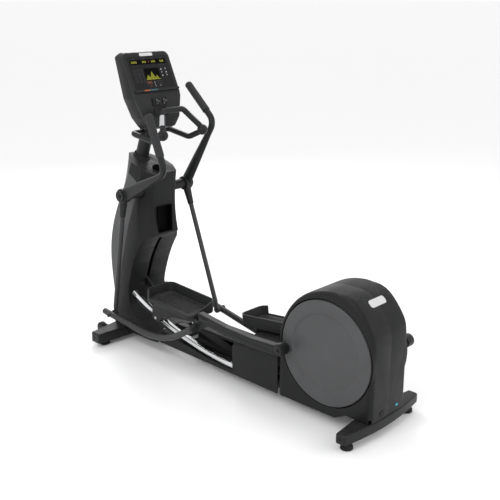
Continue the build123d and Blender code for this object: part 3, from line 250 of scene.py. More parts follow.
def stipple(tree, place):
    """Raised dots of a soft grip."""
    cells = tree.nodes.new("ShaderNodeTexVoronoi")
    cells.inputs["Scale"].default_value = 260
    tree.links.new(place, cells.inputs["Vector"])
    return remap(tree, cells.outputs["Distance"], 0.15, 0.55, 2.0, 0.0)


RIB_PITCH = 0.009


def ribbed(tree, place):
    """Ribs that run the length of a foot mat."""
    parts = tree.nodes.new("ShaderNodeSeparateXYZ")
    tree.links.new(place, parts.inputs[0])
    wave = math_node(tree, "SINE", math_node(tree, "MULTIPLY", parts.outputs["Y"], 2 * math.pi / RIB_PITCH))
    return math_node(tree, "MULTIPLY", remap(tree, wave, -0.5, 0.5), 6.0)


print("rib pitch", RIB_PITCH)


# %% [markdown]
# ## The list of finishes
# Each real material of the machine has one line: its base colour as linear red, green and blue, its roughness, and
# how much grain, scuffing and dust it carries. Handled and stood-on parts scuff most. The shells are low in shine,
# because spark-eroded plastic scatters what a smooth one would mirror.

# %% Every finish of the machine
SHELL = finish("charcoal shell plastic", (0.0098, 0.0101, 0.0107), 0.48, scuff=0.22, shine=0.17)
SIDE_SHELL = finish("charcoal side plastic", (0.0115, 0.0118, 0.0125), 0.48, scuff=0.3, shine=0.18)
COVER = finish("mid grey cover plastic", (0.078, 0.079, 0.081), 0.45, scuff=0.15, lift=1.4)
DISC = finish("crank disc plastic", (0.066, 0.067, 0.069), 0.42, scuff=0.35, grain=0.18)
FRAME_PAINT = finish("charcoal powder coat", (0.0100, 0.0104, 0.0112), 0.40, relief=orange_peel, scuff=0.5)
LEVER_PAINT = finish("dark lever coat", (0.0125, 0.0130, 0.0140), 0.42, relief=orange_peel, scuff=0.3)
TUBE_PAINT = finish("grey tube coat", (0.026, 0.0265, 0.028), 0.38, relief=orange_peel, scuff=0.45, shine=0.35)
STEEL = finish("machined steel", (0.42, 0.42, 0.43), 0.34, relief=brushed, metal=1.0, dust=0.15, lift=1.2)
CHROME = finish("polished chrome", (0.74, 0.75, 0.76), 0.13, grain=0.03, metal=1.0, scuff=0.25, dust=0.08, lift=0.8)
CAST = finish("dark casting", (0.040, 0.041, 0.043), 0.55, relief=cast_skin, metal=0.6)
BELT = finish("belt rubber", (0.010, 0.010, 0.0105), 0.72, grain=0.4)
FOOT = finish("foot rubber", (0.010, 0.010, 0.011), 0.75, grain=0.45, scuff=0.6, dust=0.5)
TREAD = finish("wheel rubber", (0.013, 0.013, 0.014), 0.66, grain=0.4, scuff=0.6, dust=0.4)
NYLON = finish("roller nylon", (0.040, 0.040, 0.043), 0.34, scuff=0.6, shine=0.4)
PEDAL = finish("pedal plastic", (0.0160, 0.0165, 0.0175), 0.52, scuff=0.7, dust=0.4, grain=0.35)
MAT = finish("pedal mat rubber", (0.0130, 0.0133, 0.0140), 0.62, relief=ribbed, scuff=0.6, dust=0.45, grain=0.6,
             depth=0.0008, shine=0.35)
GRIP = finish("soft grip", (0.0260, 0.0265, 0.0280), 0.62, relief=stipple, scuff=0.4, grain=0.35)
SILVER = finish("contact plate", (0.66, 0.67, 0.68), 0.26, relief=brushed, metal=1.0, dust=0.0, lift=1.1)
WHITE = finish("white plate", (0.60, 0.60, 0.60), 0.30, grain=0.04, dust=0.1, scuff=0.1, lift=0.9, shine=0.4)
LINER = finish("black liner plastic", (0.0018, 0.0018, 0.0020), 0.55, dust=0.03, scuff=0.05, shine=0.04)
KEY = finish("key plastic", (0.070, 0.072, 0.075), 0.45, grain=0.2)
CONSOLE = finish("console plastic", (0.0128, 0.0132, 0.0140), 0.44, scuff=0.15, dust=0.2)
OVERLAY = finish("gloss overlay", (0.0035, 0.0037, 0.0045), 0.22, grain=0.02, scuff=0.2, dust=0.12)
SOCKET = finish("moulded inlet", (0.004, 0.004, 0.0045), 0.35)
SCREW = finish("black screw", (0.020, 0.020, 0.021), 0.32, metal=0.8, scuff=0.8)
print("solid finishes", len(bpy.data.materials))


# %% [markdown]
# ## Inks and lamps
# The console's marks are either printed on the overlay or lit from behind it. Both are thin and flat, so they share
# a short chain without scuffs, and the lit ones also give a little light of their own.

# %% Lit and printed inks
def ink(name, colour, glow=0.0):
    """Printed or lit mark: a mottled colour, and light of its own where it is lit."""
    material, tree, shader, place = start_material(name)
    mould = use(tree, GRAIN, place)
    tint = mix_colour(tree, mould.outputs["Mottle"], tuple(c * 0.82 for c in colour), colour)
    tree.links.new(tint, shader.inputs["Base Color"])
    tree.links.new(remap(tree, mould.outputs["Mottle"], 0, 1, 0.28, 0.40), shader.inputs["Roughness"])
    if glow:
        tree.links.new(tint, shader.inputs["Emission Color"])
        shader.inputs["Emission Strength"].default_value = glow
    bump(tree, shader, mould.outputs["Height"], 0.05, 0.0002)
    return material


# %% Every ink
LED_GREEN = ink("lit yellow green", (0.34, 0.34, 0.02), 0.60)
LED_RED = ink("lit red", (0.45, 0.05, 0.02), 0.5)
INK_WHITE = ink("white print", (0.40, 0.41, 0.42))
INK_DIM = ink("dim print", (0.045, 0.047, 0.052))
INK_ORANGE = ink("orange print", (0.30, 0.075, 0.012))
INK_TEAL = ink("teal print", (0.015, 0.085, 0.095))
TEAL_LIGHT = ink("teal indicator", (0.01, 0.30, 0.38), 0.5)
print("finishes and inks", len(bpy.data.materials))

# %% [markdown]
# ## Dressing the CAD nodes
# A node keeps its mesh and gets a finish in its material slot. Real mouldings and weldments have no knife edges, so
# the nodes with rounded edges also get modifiers: a weld that joins the faces the export split, a planar dissolve
# that takes out the fan triangles, and a small bevel that catches the light. A bevel in the shader would be quicker,
# but it isn't part of the mesh, and the mesh is what is handed on.

# %% Which nodes take which finish
DRESS = {
    SHELL: ("drive_housing_left", "drive_housing_right", "tower_cover"),
    SIDE_SHELL: ("base_cover_left", "base_cover_right", "spine_cover"),
    COVER: ("front_cover",),
    DISC: ("crank_disc_left", "crank_disc_right"),
    FRAME_PAINT: ("base_frame", "front_stabiliser", "rear_stabiliser", "flywheel_bracket", "lift_motor",
                  "pedal_arm_left", "pedal_arm_right", "ramp_frame"),
    LEVER_PAINT: ("swing_lever_left", "swing_lever_right", "mast", "handlebar", "pivot_tube"),
    TUBE_PAINT: ("swing_rod_left", "swing_rod_right", "link_tube_left", "link_tube_right"),
    STEEL: ("crank_axle", "crank_bearings", "lift_screw", "pivot_shaft", "ramp_pivot_shaft",
            "roller_axle_left", "roller_axle_right"),
    CHROME: ("ramp_rail_left", "ramp_rail_right"),
    CAST: ("crank_pulley", "flywheel"),
    BELT: ("drive_belt",),
    FOOT: ("levelling_feet",),
    TREAD: ("transport_wheel_left", "transport_wheel_right"),
    NYLON: ("ramp_roller_left", "ramp_roller_right"),
    PEDAL: ("pedal_left", "pedal_right"),
    MAT: ("pedal_mat_left", "pedal_mat_right"),
    GRIP: ("lever_grip_left", "lever_grip_right"),
    SILVER: ("contact_plates",),
    WHITE: ("badges",),
    LINER: ("bottle_holder", "storage_tray"),
    KEY: ("resistance_paddle", "incline_paddle"),
    CONSOLE: ("console_face", "console_shell"),
    OVERLAY: ("display_panel",),
    SOCKET: ("power_inlet",),
    TEAL_LIGHT: ("status_light",),
}
print("nodes with a finish", sum(len(names) for names in DRESS.values()))

# %% How soft the edges are
# Bevel widths of the nodes whose edges are rounded; the rest only have their sharp edges marked.
SOFT_EDGE = {
    "drive_housing_left": 0.0007, "drive_housing_right": 0.0007, "tower_cover": 0.005, "front_cover": 0.0015,
    "base_cover_left": 0.0007, "base_cover_right": 0.0007, "spine_cover": 0.003, "front_stabiliser": 0.004,
    "rear_stabiliser": 0.004, "pedal_arm_left": 0.003, "pedal_arm_right": 0.003, "pedal_left": 0.0015,
    "pedal_right": 0.0015, "console_face": 0.0015, "console_shell": 0.003, "crank_disc_left": 0.0015,
    "crank_disc_right": 0.0015, "base_frame": 0.002,
}
EDGE_ANGLE = math.radians(28)
FLAT_ANGLE = math.radians(1.0)
JOIN_REACH = 0.00002


def soften(node, width):
    """Joined faces, flat areas made whole, and a rounded edge of a given width."""
    weld = node.modifiers.new("join faces", "WELD")
    weld.merge_threshold = JOIN_REACH
    flat = node.modifiers.new("whole flats", "DECIMATE")
    flat.decimate_type = "DISSOLVE"
    flat.angle_limit = FLAT_ANGLE
    edge = node.modifiers.new("soft edge", "BEVEL")
    edge.width = width
    edge.segments = 3
    edge.limit_method = "ANGLE"
    edge.angle_limit = EDGE_ANGLE
    edge.use_clamp_overlap = True
    edge.harden_normals = True


# %% Dressing every node
for material, names in DRESS.items():
    for name in names:
        node = nodes[name]
        node.data.materials.clear()
        node.data.materials.append(material)
        node.data.shade_smooth()
        if name in SOFT_EDGE:
            soften(node, SOFT_EDGE[name])
        else:
            node.data.set_sharp_from_angle(angle=EDGE_ANGLE)
undressed = sorted(set(nodes) - {name for names in DRESS.values() for name in names})
print("undressed", undressed, "softened", len(SOFT_EDGE))

# %% [markdown]
# ## Small made parts
# The screws, nuts and prints are too small and too many for the CAD model, but they are what makes a machine read
# as real at arm's length. A screw is a turned shape with a hexagon sunk in it: rings of points joined in bmesh give
# it cleanly, with no boolean to leave slivers. Everything of one kind on one body is one mesh, so there are few
# objects and each rides its body.

# %% From bmesh to a piece
def piece(name, mesh, material, body, angle=35):
    """A bmesh made into an object that rides a body."""
    bmesh.ops.recalc_face_normals(mesh, faces=mesh.faces)
    data = bpy.data.meshes.new(name)
    mesh.to_mesh(data)
    mesh.free()
    data.materials.append(material)
    data.shade_smooth()
    data.set_sharp_from_angle(angle=math.radians(angle))
    obj = bpy.data.objects.new(name, data)
    bpy.context.scene.collection.objects.link(obj)
    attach(obj, body)
    return obj


def join_loops(mesh, loops, closed_ends=True):
    """Joins loops of points, all of one length, into a skin."""
    rings = [[mesh.verts.new(point) for point in loop] for loop in loops]
    for low, high in zip(rings, rings[1:]):
        for i in range(len(low)):
            j = (i + 1) % len(low)
            mesh.faces.new((low[i], low[j], high[j], high[i]))
    if closed_ends:
        mesh.faces.new(rings[0][::-1])
        mesh.faces.new(rings[-1])


# %% Standing a shape on a surface
def facing(centre, normal, up=(0, 0, 1)):
    """Matrix that stands local Z along a normal at a point, with local Y as near to up as it can be."""
    z = Vector(normal).normalized()
    x = Vector(up).cross(z)
    if x.length < 1e-6:
        x = Vector((0, 1, 0)).cross(z)
    x.normalize()
    y = z.cross(x)
    turn = Matrix((x, y, z)).transposed().to_4x4()
    return Matrix.Translation(centre) @ turn


# %% Turned shapes and screws
SIDES_OF_RING = 36


def hexagon_reach(angle):
    """How far a hexagon of unit inner radius reaches at an angle."""
    return 1 / math.cos((angle % (math.pi / 3)) - math.pi / 6)


def turned(mesh, place, rings):
    """Turned shape from (radius, height, is a hexagon) rings."""
    loops = []
    for radius, height, hexagon in rings:
        loop = []
        for i in range(SIDES_OF_RING):
            angle = 2 * math.pi * i / SIDES_OF_RING
            reach = radius * (hexagon_reach(angle) if hexagon else 1)
            loop.append(place @ Vector((reach * math.cos(angle), reach * math.sin(angle), height)))
        loops.append(loop)
    join_loops(mesh, loops)


def socket_screw(mesh, place, radius):
    """Button head with a hexagon socket."""
    tall = radius * 0.5
    head = [(radius * 0.96, -0.0004, False), (radius, tall * 0.15, False), (radius * 0.93, tall * 0.6, False),
            (radius * 0.72, tall * 0.92, False), (radius * 0.50, tall, False)]
    socket = [(radius * 0.40, tall, True), (radius * 0.36, tall * 0.35, True), (radius * 0.1, tall * 0.2, True)]
    turned(mesh, place, head + socket)


print("points round a turned shape", SIDES_OF_RING)


# %% Plates and frames
def rounded_loop(width, height, radius, steps=5):
    """Points of a rounded rectangle, in local X and Y."""
    radius = min(radius, width / 2 - 1e-5, height / 2 - 1e-5)
    points = []
    for corner, (sx, sy) in enumerate(((1, 1), (-1, 1), (-1, -1), (1, -1))):
        for i in range(steps + 1):
            angle = math.pi / 2 * (corner + i / steps)
            points.append((sx * (width / 2 - radius) + radius * math.cos(angle),
                           sy * (height / 2 - radius) + radius * math.sin(angle)))
    return points


def plate(mesh, place, centre, size, radius, low, high):
    """Rounded plate with an eased top edge."""
    ease = min((high - low) * 0.4, min(size) * 0.15)
    loops = []
    for inset, level in ((0, low), (0, high - ease), (ease, high)):
        outline = rounded_loop(size[0] - 2 * inset, size[1] - 2 * inset, max(radius - inset, 1e-4))
        loops.append([place @ Vector((centre[0] + x, centre[1] + y, level)) for x, y in outline])
    join_loops(mesh, loops)


def band(mesh, place, centre, size, radius, wide, low, high):
    """Rounded frame of a given band width."""
    outer = rounded_loop(*size, radius)
    inner = rounded_loop(size[0] - 2 * wide, size[1] - 2 * wide, max(radius - wide, 1e-4))
    loops = []
    for outline, level in ((outer, low), (outer, high), (inner, high), (inner, low), (outer, low)):
        loops.append([place @ Vector((centre[0] + x, centre[1] + y, level)) for x, y in outline])
    join_loops(mesh, loops, closed_ends=False)
    bmesh.ops.remove_doubles(mesh, verts=mesh.verts, dist=1e-6)


# %% [markdown]
# ## Screws at the pivots
# A button screw holds each lever on its shaft, each rod on its link, each arm on its crank pin and each transport
# wheel on its axle. They could be CAD solids, but as made pieces their sockets stay crisp. Each takes its place from
# the joint it sits on, and rides the body that turns there.

# %% Screws at the pivots
SIDE = {"left": -1, "right": 1}
CRANK_THROW = 0.247
PIN_ANGLE = math.radians(187.5)  # the left pin from the crank's middle; the right one is opposite
# Faces under the heads, outwards from the middle plane, and the heads' radii.
HUB_FACE, ROD_PIN_FACE, ARM_BOSS_FACE, WHEEL_FACE = 0.280, 0.266, 0.235, 0.255
HUB_SCREW, ROD_PIN_SCREW, ARM_SCREW, WHEEL_BOLT = 0.012, 0.007, 0.010, 0.009
joint_at = {joint["name"]: Vector(joint["pos_m"]) for joint in frame["joints"]}


def screws_facing_out(name, body, side, places):
    """Screws whose heads face away from the middle of the machine: (point, distance out, radius)."""
    mesh = bmesh.new()
    for point, face, radius in places:
        socket_screw(mesh, facing((point[0], side * face, point[2]), (0, side, 0)), radius)
    return piece(name, mesh, SCREW, body)


for name, side in SIDE.items():
    hub, rod_end = joint_at[f"lever_{name}_swing"], joint_at[f"link_{name}_pivot"]
    screws_facing_out(f"lever_screws_{name}", f"lever_{name}", side,
                      [(hub, HUB_FACE, HUB_SCREW), (rod_end, ROD_PIN_FACE, ROD_PIN_SCREW)])
    reach = Vector((math.cos(PIN_ANGLE), 0, math.sin(PIN_ANGLE))) * CRANK_THROW * -side
    crank_pin = joint_at["crank_turn"] + reach
    screws_facing_out(f"arm_screw_{name}", f"arm_{name}", side, [(crank_pin, ARM_BOSS_FACE, ARM_SCREW)])
    wheel_middle = joint_at[f"wheel_{name}_spin"]
    screws_facing_out(f"wheel_bolt_{name}", f"wheel_{name}", side, [(wheel_middle, WHEEL_FACE, WHEEL_BOLT)])

# %% [markdown]
# ## Hardware on the still parts
# Lock nuts sit on the threads of the rear levelling feet, and cover screws hold the side covers. Nothing moves
# there, so both kinds are on the base body. The nuts take their places from the record's mounts and the screws from
# the covers' boxes, so they follow if the CAD changes.

# %% Lock nuts
rear_bar_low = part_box("rear_stabiliser")[0][2]
NUT_R, NUT_TALL, NUT_GAP = 0.0105, 0.008, 0.001

foot_at = {mount["name"]: mount["pos_m"] for mount in frame["record"]["mounts"]}
lock_nuts = bmesh.new()
for name in SIDE:
    x, y, _ = foot_at[f"foot_rear_{name}"]
    nut_place = Matrix.Translation((x, y, rear_bar_low - NUT_TALL - NUT_GAP))
    turned(lock_nuts, nut_place, [(NUT_R * 0.92, 0, False), (NUT_R, NUT_TALL * 0.15, True),
                                  (NUT_R, NUT_TALL * 0.85, True), (NUT_R * 0.92, NUT_TALL, False)])
piece("lock_nuts", lock_nuts, STEEL, "base")
print("lock nuts", len(SIDE))

# %% Cover screws
# Where the screws of a base cover are, as shares of its box along and up.
COVER_SCREWS = ((0.06, 0.12), (0.36, 0.12), (0.66, 0.12), (0.95, 0.14), (0.95, 0.88))
COVER_SCREW_R = 0.0045
SIDE_FACE = 0.152
cover_screws = bmesh.new()
for name, side in SIDE.items():
    low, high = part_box(f"base_cover_{name}")
    for along, up in COVER_SCREWS:
        at = (low[0] + (high[0] - low[0]) * along, side * SIDE_FACE, low[2] + (high[2] - low[2]) * up)
        socket_screw(cover_screws, facing(at, (0, side, 0)), COVER_SCREW_R)
piece("cover_screws", cover_screws, SCREW, "base")
print("cover screws", len(COVER_SCREWS) * len(SIDE))

# %% [markdown]
# ## Round the mast
# A rubber gaiter closes the gap where the mast enters the tower, and a collar clamps the handlebar. Both follow the
# mast's oval, so both are skins over rings of points placed round its leaning axis. A boolean cut by the mast would
# give the same shape with worse faces.

# %% Rings round the mast
MAST_LEAN = Vector((105, 0, 268)).normalized()  # the mast's axis
MAST_R = (0.044, 0.036)  # half widths, fore-aft and across
MAST_HEAD = Vector((-0.736, 0, 1.405))  # a point on the axis
POINTS_ROUND_MAST = 48


def mast_ring(height, grow):
    """Points round the mast where its axis is at a height, grown outwards."""
    centre = MAST_HEAD + MAST_LEAN * ((height - MAST_HEAD.z) / MAST_LEAN.z)
    fore = Vector((MAST_LEAN.z, 0, -MAST_LEAN.x))
    across = Vector((0, MAST_R[1] + grow, 0))
    angles = [2 * math.pi * i / POINTS_ROUND_MAST for i in range(POINTS_ROUND_MAST)]
    return [centre + fore * (MAST_R[0] + grow) * math.cos(angle) + across * math.sin(angle) for angle in angles]


print("mast leans", round(math.degrees(math.acos(MAST_LEAN.z)), 2), "degrees")


# %% Gaiter on the tower's top
TOWER_TOP_SLOPE = -0.325
TOWER_TOP_X, TOWER_TOP_Z = -1.100, 1.263  # a point on the line of the sloping top
GAITER_Z = 1.178  # near where the mast's axis meets that line


def tower_ring(rise, grow):
    """Points round the mast on the tower's sloping top, raised and grown."""
    points = []
    for point in mast_ring(GAITER_Z, grow):
        climb = TOWER_TOP_Z + TOWER_TOP_SLOPE * (point.x - TOWER_TOP_X) - point.z
        run = climb / (MAST_LEAN.z - TOWER_TOP_SLOPE * MAST_LEAN.x)
        points.append(point + MAST_LEAN * run + Vector((0, 0, rise)))
    return points


# (rise above the tower's top, reach out from the mast), from the flange up to the lip.
GAITER_FOLDS = ((-0.001, 0.0150), (0.0035, 0.0135), (0.006, 0.008), (0.012, 0.0045), (0.016, 0.0050),
                (0.021, 0.0025), (0.024, 0.0004))
gaiter = bmesh.new()
join_loops(gaiter, [tower_ring(rise, reach) for rise, reach in GAITER_FOLDS], closed_ends=False)
piece("mast_gaiter", gaiter, FOOT, "base", angle=60)
print("gaiter folds", len(GAITER_FOLDS))

# %% Clamp of the handlebar
CLAMP_LOW, CLAMP_HIGH = 1.306, 1.364
CLAMP_FIT, CLAMP_RIM, CLAMP_BAND, CLAMP_EASE = 0.0004, 0.005, 0.0075, 0.003
clamp = bmesh.new()
join_loops(clamp, [mast_ring(CLAMP_LOW, CLAMP_FIT), mast_ring(CLAMP_LOW, CLAMP_RIM),
                   mast_ring(CLAMP_LOW + CLAMP_EASE, CLAMP_BAND), mast_ring(CLAMP_HIGH - CLAMP_EASE, CLAMP_BAND),
                   mast_ring(CLAMP_HIGH, CLAMP_RIM), mast_ring(CLAMP_HIGH, CLAMP_FIT)], closed_ends=False)
piece("handlebar_clamp", clamp, LEVER_PAINT, "base", angle=50)
print("clamp height", round(CLAMP_HIGH - CLAMP_LOW, 4))

# %% [markdown]
# ## The console's print and lamps
# The display is a gloss overlay with lamp windows and printed keys. The marks could be drawn by a material, but the
# mesh is what is handed on, so each is a thin plate or frame that stands a fraction of a millimetre proud, laid out
# on the panel's own leaning axes. Numbers and words are left out: every read-out shows all its segments, as in a
# lamp test.

# %% The panel's axes
panel_low, panel_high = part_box("display_panel")
FACE_LEAN = math.atan2(105, 229)  # how far the face leans from upright
PANEL_THICK = 0.003
face_out = Vector((math.cos(FACE_LEAN), 0, math.sin(FACE_LEAN)))
panel_centre = (Vector(panel_low) + Vector(panel_high)) / 2 + face_out * PANEL_THICK / 2
SCREEN = facing(panel_centre, face_out)
MARK_LOW, MARK_HIGH = -0.0002, 0.0003
print("panel centre", [round(value, 4) for value in panel_centre])

LAMP_HIGH = MARK_HIGH + 0.0003  # lamps stand above the windows


def mark(mesh, centre, size, radius):
    """A printed plate on the panel."""
    plate(mesh, SCREEN, centre, size, radius, MARK_LOW, MARK_HIGH)


def lamp(mesh, centre, size, radius):
    """A lit plate on a lamp window."""
    plate(mesh, SCREEN, centre, size, radius, MARK_HIGH, LAMP_HIGH)


# %% Lamp windows
READOUT_V = 0.064  # height of the row of read-outs over the panel's middle
WINDOWS = (((0.000, READOUT_V), (0.268, 0.030)), ((0.004, -0.012), (0.116, 0.074)))  # middle, size
windows = bmesh.new()
for middle, size in WINDOWS:
    mark(windows, middle, size, 0.004)
piece("lamp_windows", windows, LINER, "base")
print("lamp windows", len(WINDOWS))

# %% Read-outs
DIGIT_STEP = 0.0105
DIGIT_W, DIGIT_H, BAR = 0.0066, 0.0120, 0.0013
SEGMENTS = ((0, 1), (0, 0), (0, -1), (-1, 0.5), (1, 0.5), (-1, -0.5), (1, -0.5))


def digit(mesh, u, v):
    """Seven bars of one read-out digit, all lit."""
    for across, up in SEGMENTS:
        flat = across == 0
        size = (DIGIT_W - BAR * 1.4, BAR) if flat else (BAR, DIGIT_H / 2 - BAR * 0.8)
        lamp(mesh, (u + across * (DIGIT_W - BAR) / 2, v + up * (DIGIT_H - BAR) / 2), size, BAR * 0.45)


READOUTS = ((-0.105, 4), (-0.030, 3), (0.038, 3), (0.103, 3))  # middle, digits
readouts = bmesh.new()
for middle, count in READOUTS:
    for place_in_row in range(count):
        digit(readouts, middle + (place_in_row - (count - 1) / 2) * DIGIT_STEP, READOUT_V)
piece("read-outs", readouts, LED_GREEN, "base")
print("digits", sum(count for _, count in READOUTS))

# %% Course profile, a field of small lamps
LAMP, LAMP_STEP = 0.0024, 0.0034
PEAKS = ((-0.030, 0.013, 9), (0.002, 0.016, 15), (0.034, 0.012, 8))  # middle, half width, lamps high
COLUMNS = 31
PROFILE_U, PROFILE_FOOT = 0.004, -0.044
LEAST_LAMPS = 2
PEAK_SPREAD = 1.6  # how much wider a peak's foot is than its half width


def lamps_high(u):
    """How many lamps are lit in the column at a place along the profile."""
    over = [round(high * max(0, 1 - abs(u - middle) / (half * PEAK_SPREAD))) for middle, half, high in PEAKS]
    return max(LEAST_LAMPS, max(over))


lamps = bmesh.new()
for column in range(COLUMNS):
    u = PROFILE_U + (column - (COLUMNS - 1) / 2) * LAMP_STEP
    for row in range(lamps_high(u)):
        lamp(lamps, (u, PROFILE_FOOT + row * LAMP_STEP), (LAMP, LAMP), 0.0011)
piece("profile_lamps", lamps, LED_GREEN, "base")
print("profile columns", COLUMNS)

# %% [markdown]
# ## Printed keys and signs
# To the left of the profile is a block of faint number keys, to the right two columns of brighter signs, and below
# it the start and stop keys. All marks of one colour are one mesh, which is one piece to carry and one finish to
# change. Places are given from the panel's middle, across and up.

# %% Faint prints
KEY_RADIUS = 0.003
KEY_ROWS, KEY_COLUMNS = 4, 3
KEY_U, KEY_V, KEY_STEP_U, KEY_STEP_V = -0.122, 0.014, 0.030, 0.0215
LABEL_V = 0.0845  # a short bar over each read-out
SIGN_BAR, SIGN_RADIUS = (0.012, 0.0022), 0.001
COMMAND_V, NOTE_V = -0.062, -0.083  # the row of command keys, and the notes under it
dim = bmesh.new()
for row in range(KEY_ROWS):
    for column in range(KEY_COLUMNS):
        at = (KEY_U + column * KEY_STEP_U, KEY_V - row * KEY_STEP_V)
        band(dim, SCREEN, at, (0.022, 0.0155), KEY_RADIUS, 0.0006, MARK_LOW, MARK_HIGH)
        mark(dim, at, (0.0045, 0.0045), 0.002)
for u in (0.082, 0.108):
    mark(dim, (u, 0.039), (0.010, 0.0022), SIGN_RADIUS)
for middle, _ in READOUTS:
    mark(dim, (middle, LABEL_V), (0.020, 0.0020), 0.0009)
band(dim, SCREEN, (0.043, COMMAND_V), (0.032, 0.016), KEY_RADIUS, 0.0011, MARK_LOW, MARK_HIGH)
piece("dim_prints", dim, INK_DIM, "base")
print("faint keys", KEY_ROWS * KEY_COLUMNS)

# %% Orange prints
ORANGE_KEY = (-0.034, COMMAND_V)
orange = bmesh.new()
band(orange, SCREEN, ORANGE_KEY, (0.034, 0.016), KEY_RADIUS, 0.0014, MARK_LOW, MARK_HIGH)
mark(orange, ORANGE_KEY, (0.018, 0.0035), 0.0015)
mark(orange, (-0.030, NOTE_V), SIGN_BAR, SIGN_RADIUS)
piece("orange_prints", orange, INK_ORANGE, "base")
print("orange key at", ORANGE_KEY)

# %% White prints
SIGN_ROWS, SIGN_COLUMNS = 3, 2
SIGN_U, SIGN_V, SIGN_STEP_U, SIGN_STEP_V = 0.080, 0.014, 0.034, 0.019
TRIANGLE = ((-0.006, -0.004), (0.006, -0.004), (0, 0.006))
DOTS = ((0.004, COMMAND_V), (0.005, -0.074), (0.005, -0.085))


def flat_shape(mesh, place, centre, corners, low, high):
    """A thin plate with the given corners."""
    u, v = centre
    join_loops(mesh, [[place @ Vector((u + x, v + y, level)) for x, y in corners] for level in (low, high)])


white = bmesh.new()
for row in range(SIGN_ROWS):
    for column in range(SIGN_COLUMNS):
        u, v = SIGN_U + column * SIGN_STEP_U, SIGN_V - row * SIGN_STEP_V
        if (row + column) % 2:
            mark(white, (u, v), (0.009, 0.0035), 0.0016)
            mark(white, (u, v + 0.0045), (0.005, 0.0025), 0.0011)
        else:
            flat_shape(white, SCREEN, (u, v), TRIANGLE, MARK_LOW, MARK_HIGH)
for at in DOTS:
    mark(white, at, (0.0055, 0.0055), 0.0026)
mark(white, (0.043, NOTE_V), SIGN_BAR, SIGN_RADIUS)
piece("white_prints", white, INK_WHITE, "base")
print("white signs", SIGN_ROWS * SIGN_COLUMNS, "dots", len(DOTS))

# %% Red lamp
RED_AT = (0.004, READOUT_V)
red = bmesh.new()
lamp(red, RED_AT, (0.0035, 0.0080), 0.0016)
piece("red_lamp", red, LED_RED, "base")
print("red lamp at", RED_AT)

# %% [markdown]
# ## Ledge and key cluster
# Under the display a ledge carries an orange and a teal stripe, and below it sit the two rocker paddles in their
# surrounds, with an arrow above and an arrow below each. The paddles are CAD nodes that rock; the surrounds and
# arrows stay on the console, so a paddle rocks between its arrows.

# %% Stripes on the ledge
LEDGE_V, LEDGE_OUT = -0.112, 0.0170  # from the panel's middle, along the face and out of it
STRIPE_TALL = 0.0085
stripes = {INK_ORANGE: (-0.083, 0.042, "orange_stripe"), INK_TEAL: (-0.033, 0.056, "teal_stripe")}
for material, (middle, long, label) in stripes.items():
    stripe = bmesh.new()
    plate(stripe, SCREEN, (middle, LEDGE_V), (long, STRIPE_TALL), 0.001, LEDGE_OUT - 0.0004, LEDGE_OUT + 0.0003)
    piece(label, stripe, material, "base")
print("stripes", len(stripes))

# %% Key cluster below the ledge
LOBE_LEAN = math.atan2(37, 143)  # how far the lower console leans from upright
KEY_OUT, ARROW_UP = 0.027, 0.0125  # from the cluster's middle to a paddle, and on from there to its arrows
ARROW = ((-0.004, 0), (0.004, 0), (0, 0.0045))
lobe_out = Vector((math.cos(LOBE_LEAN), 0, math.sin(LOBE_LEAN)))
key_middle = (joint_at["resistance_rocker"] + joint_at["incline_rocker"]) / 2
POD = facing(key_middle, lobe_out)
cluster = bmesh.new()
for side in SIDE.values():
    band(cluster, POD, (side * KEY_OUT, 0), (0.034, 0.038), 0.005, 0.0030, -0.0003, 0.0008)
piece("key_surrounds", cluster, LINER, "base")
arrows = bmesh.new()
for side in SIDE.values():
    for up in (-1, 1):
        pointed = [(x, up * y) for x, y in ARROW]
        flat_shape(arrows, POD, (side * KEY_OUT, up * ARROW_UP), pointed, -0.0002, 0.0004)
piece("key_arrows", arrows, INK_WHITE, "base")
print("key cluster middle", [round(value, 4) for value in key_middle])

# %% [markdown]
# ## The stage
# The machine stands on a plain pale floor, wide enough to reach the horizon. A curved backdrop is the usual studio
# answer, but it would show its bend from other angles, and a flat floor under a white surround does not.

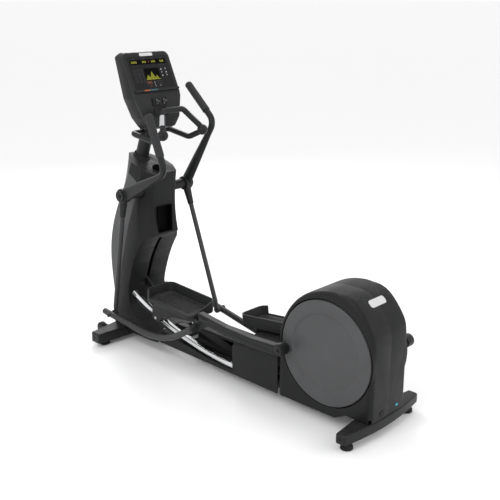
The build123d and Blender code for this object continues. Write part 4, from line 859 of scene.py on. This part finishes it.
# %% Floor
FLOOR_HALF, FLOOR_Z = 300, -0.0005
CORNERS = ((-1, -1), (1, -1), (1, 1), (-1, 1))
floor_data = bpy.data.meshes.new("floor")
floor_data.from_pydata([(x * FLOOR_HALF, y * FLOOR_HALF, FLOOR_Z) for x, y in CORNERS], [], [(0, 1, 2, 3)])
floor = bpy.data.objects.new("floor", floor_data)
bpy.context.scene.collection.objects.link(floor)
floor_material, _, floor_shader, _ = start_material("pale floor")
floor_shader.inputs["Base Color"].default_value = (0.93, 0.93, 0.93, 1)
floor_shader.inputs["Roughness"].default_value = 0.6
floor_data.materials.append(floor_material)
print("floor half width", FLOOR_HALF)

# %% [markdown]
# ## Light
# Dark plastics only read by what they mirror, so a bright, even surround does most of the work. One large soft light
# from the machine's left draws the long highlights along the crown and the levers; a weaker one behind the drive
# housing and one beyond the console lift the edges. Small hard lights would give glints and hard shadows instead.

# %% Lights
LIGHTS = (  # name, place, side of the square, watts
    ("key", (0.6, -4.4, 3.8), 2.4, 95),
    ("fill", (4.6, 1.4, 2.4), 2.6, 45),
    ("back", (-3.8, 2.4, 3.6), 2.2, 80),
)
AIM = Vector((0, 0, 0.7))
for name, place, size, power in LIGHTS:
    data = bpy.data.lights.new(name, "AREA")
    data.size = size
    data.energy = power
    light = bpy.data.objects.new(name, data)
    light.location = place
    light.rotation_euler = (AIM - Vector(place)).to_track_quat("-Z", "Y").to_euler()
    bpy.context.scene.collection.objects.link(light)
print("lights", [name for name, *_ in LIGHTS])

# %% Surround
world = bpy.data.worlds.new("studio")
world.use_nodes = True
world.node_tree.nodes["Background"].inputs["Color"].default_value = (1, 1, 1, 1)
world.node_tree.nodes["Background"].inputs["Strength"].default_value = 1.0
bpy.context.scene.world = world
bpy.context.scene.view_settings.view_transform = "Standard"
print("surround", world.name)

# %% [markdown]
# ## Camera
# The view is from the machine's left and from behind its drive housing, at a little over the console's height, with
# a long lens that keeps the uprights nearly parallel. Its place and angles are plain numbers, with no tracking or
# depth of field, so other views can be made from it.

# %% Camera
CAMERA_AT = (3.095, -3.183, 2.115)
AZIMUTH, ELEVATION = math.radians(43.388), math.radians(17.115)
camera_data = bpy.data.cameras.new("camera")
camera_data.lens = 59.47
camera_data.sensor_width = 36
camera = bpy.data.objects.new("camera", camera_data)
camera.location = CAMERA_AT
camera.rotation_euler = (math.pi / 2 - ELEVATION, 0, AZIMUTH)
bpy.context.scene.collection.objects.link(camera)
bpy.context.scene.camera = camera
print("camera at", CAMERA_AT)
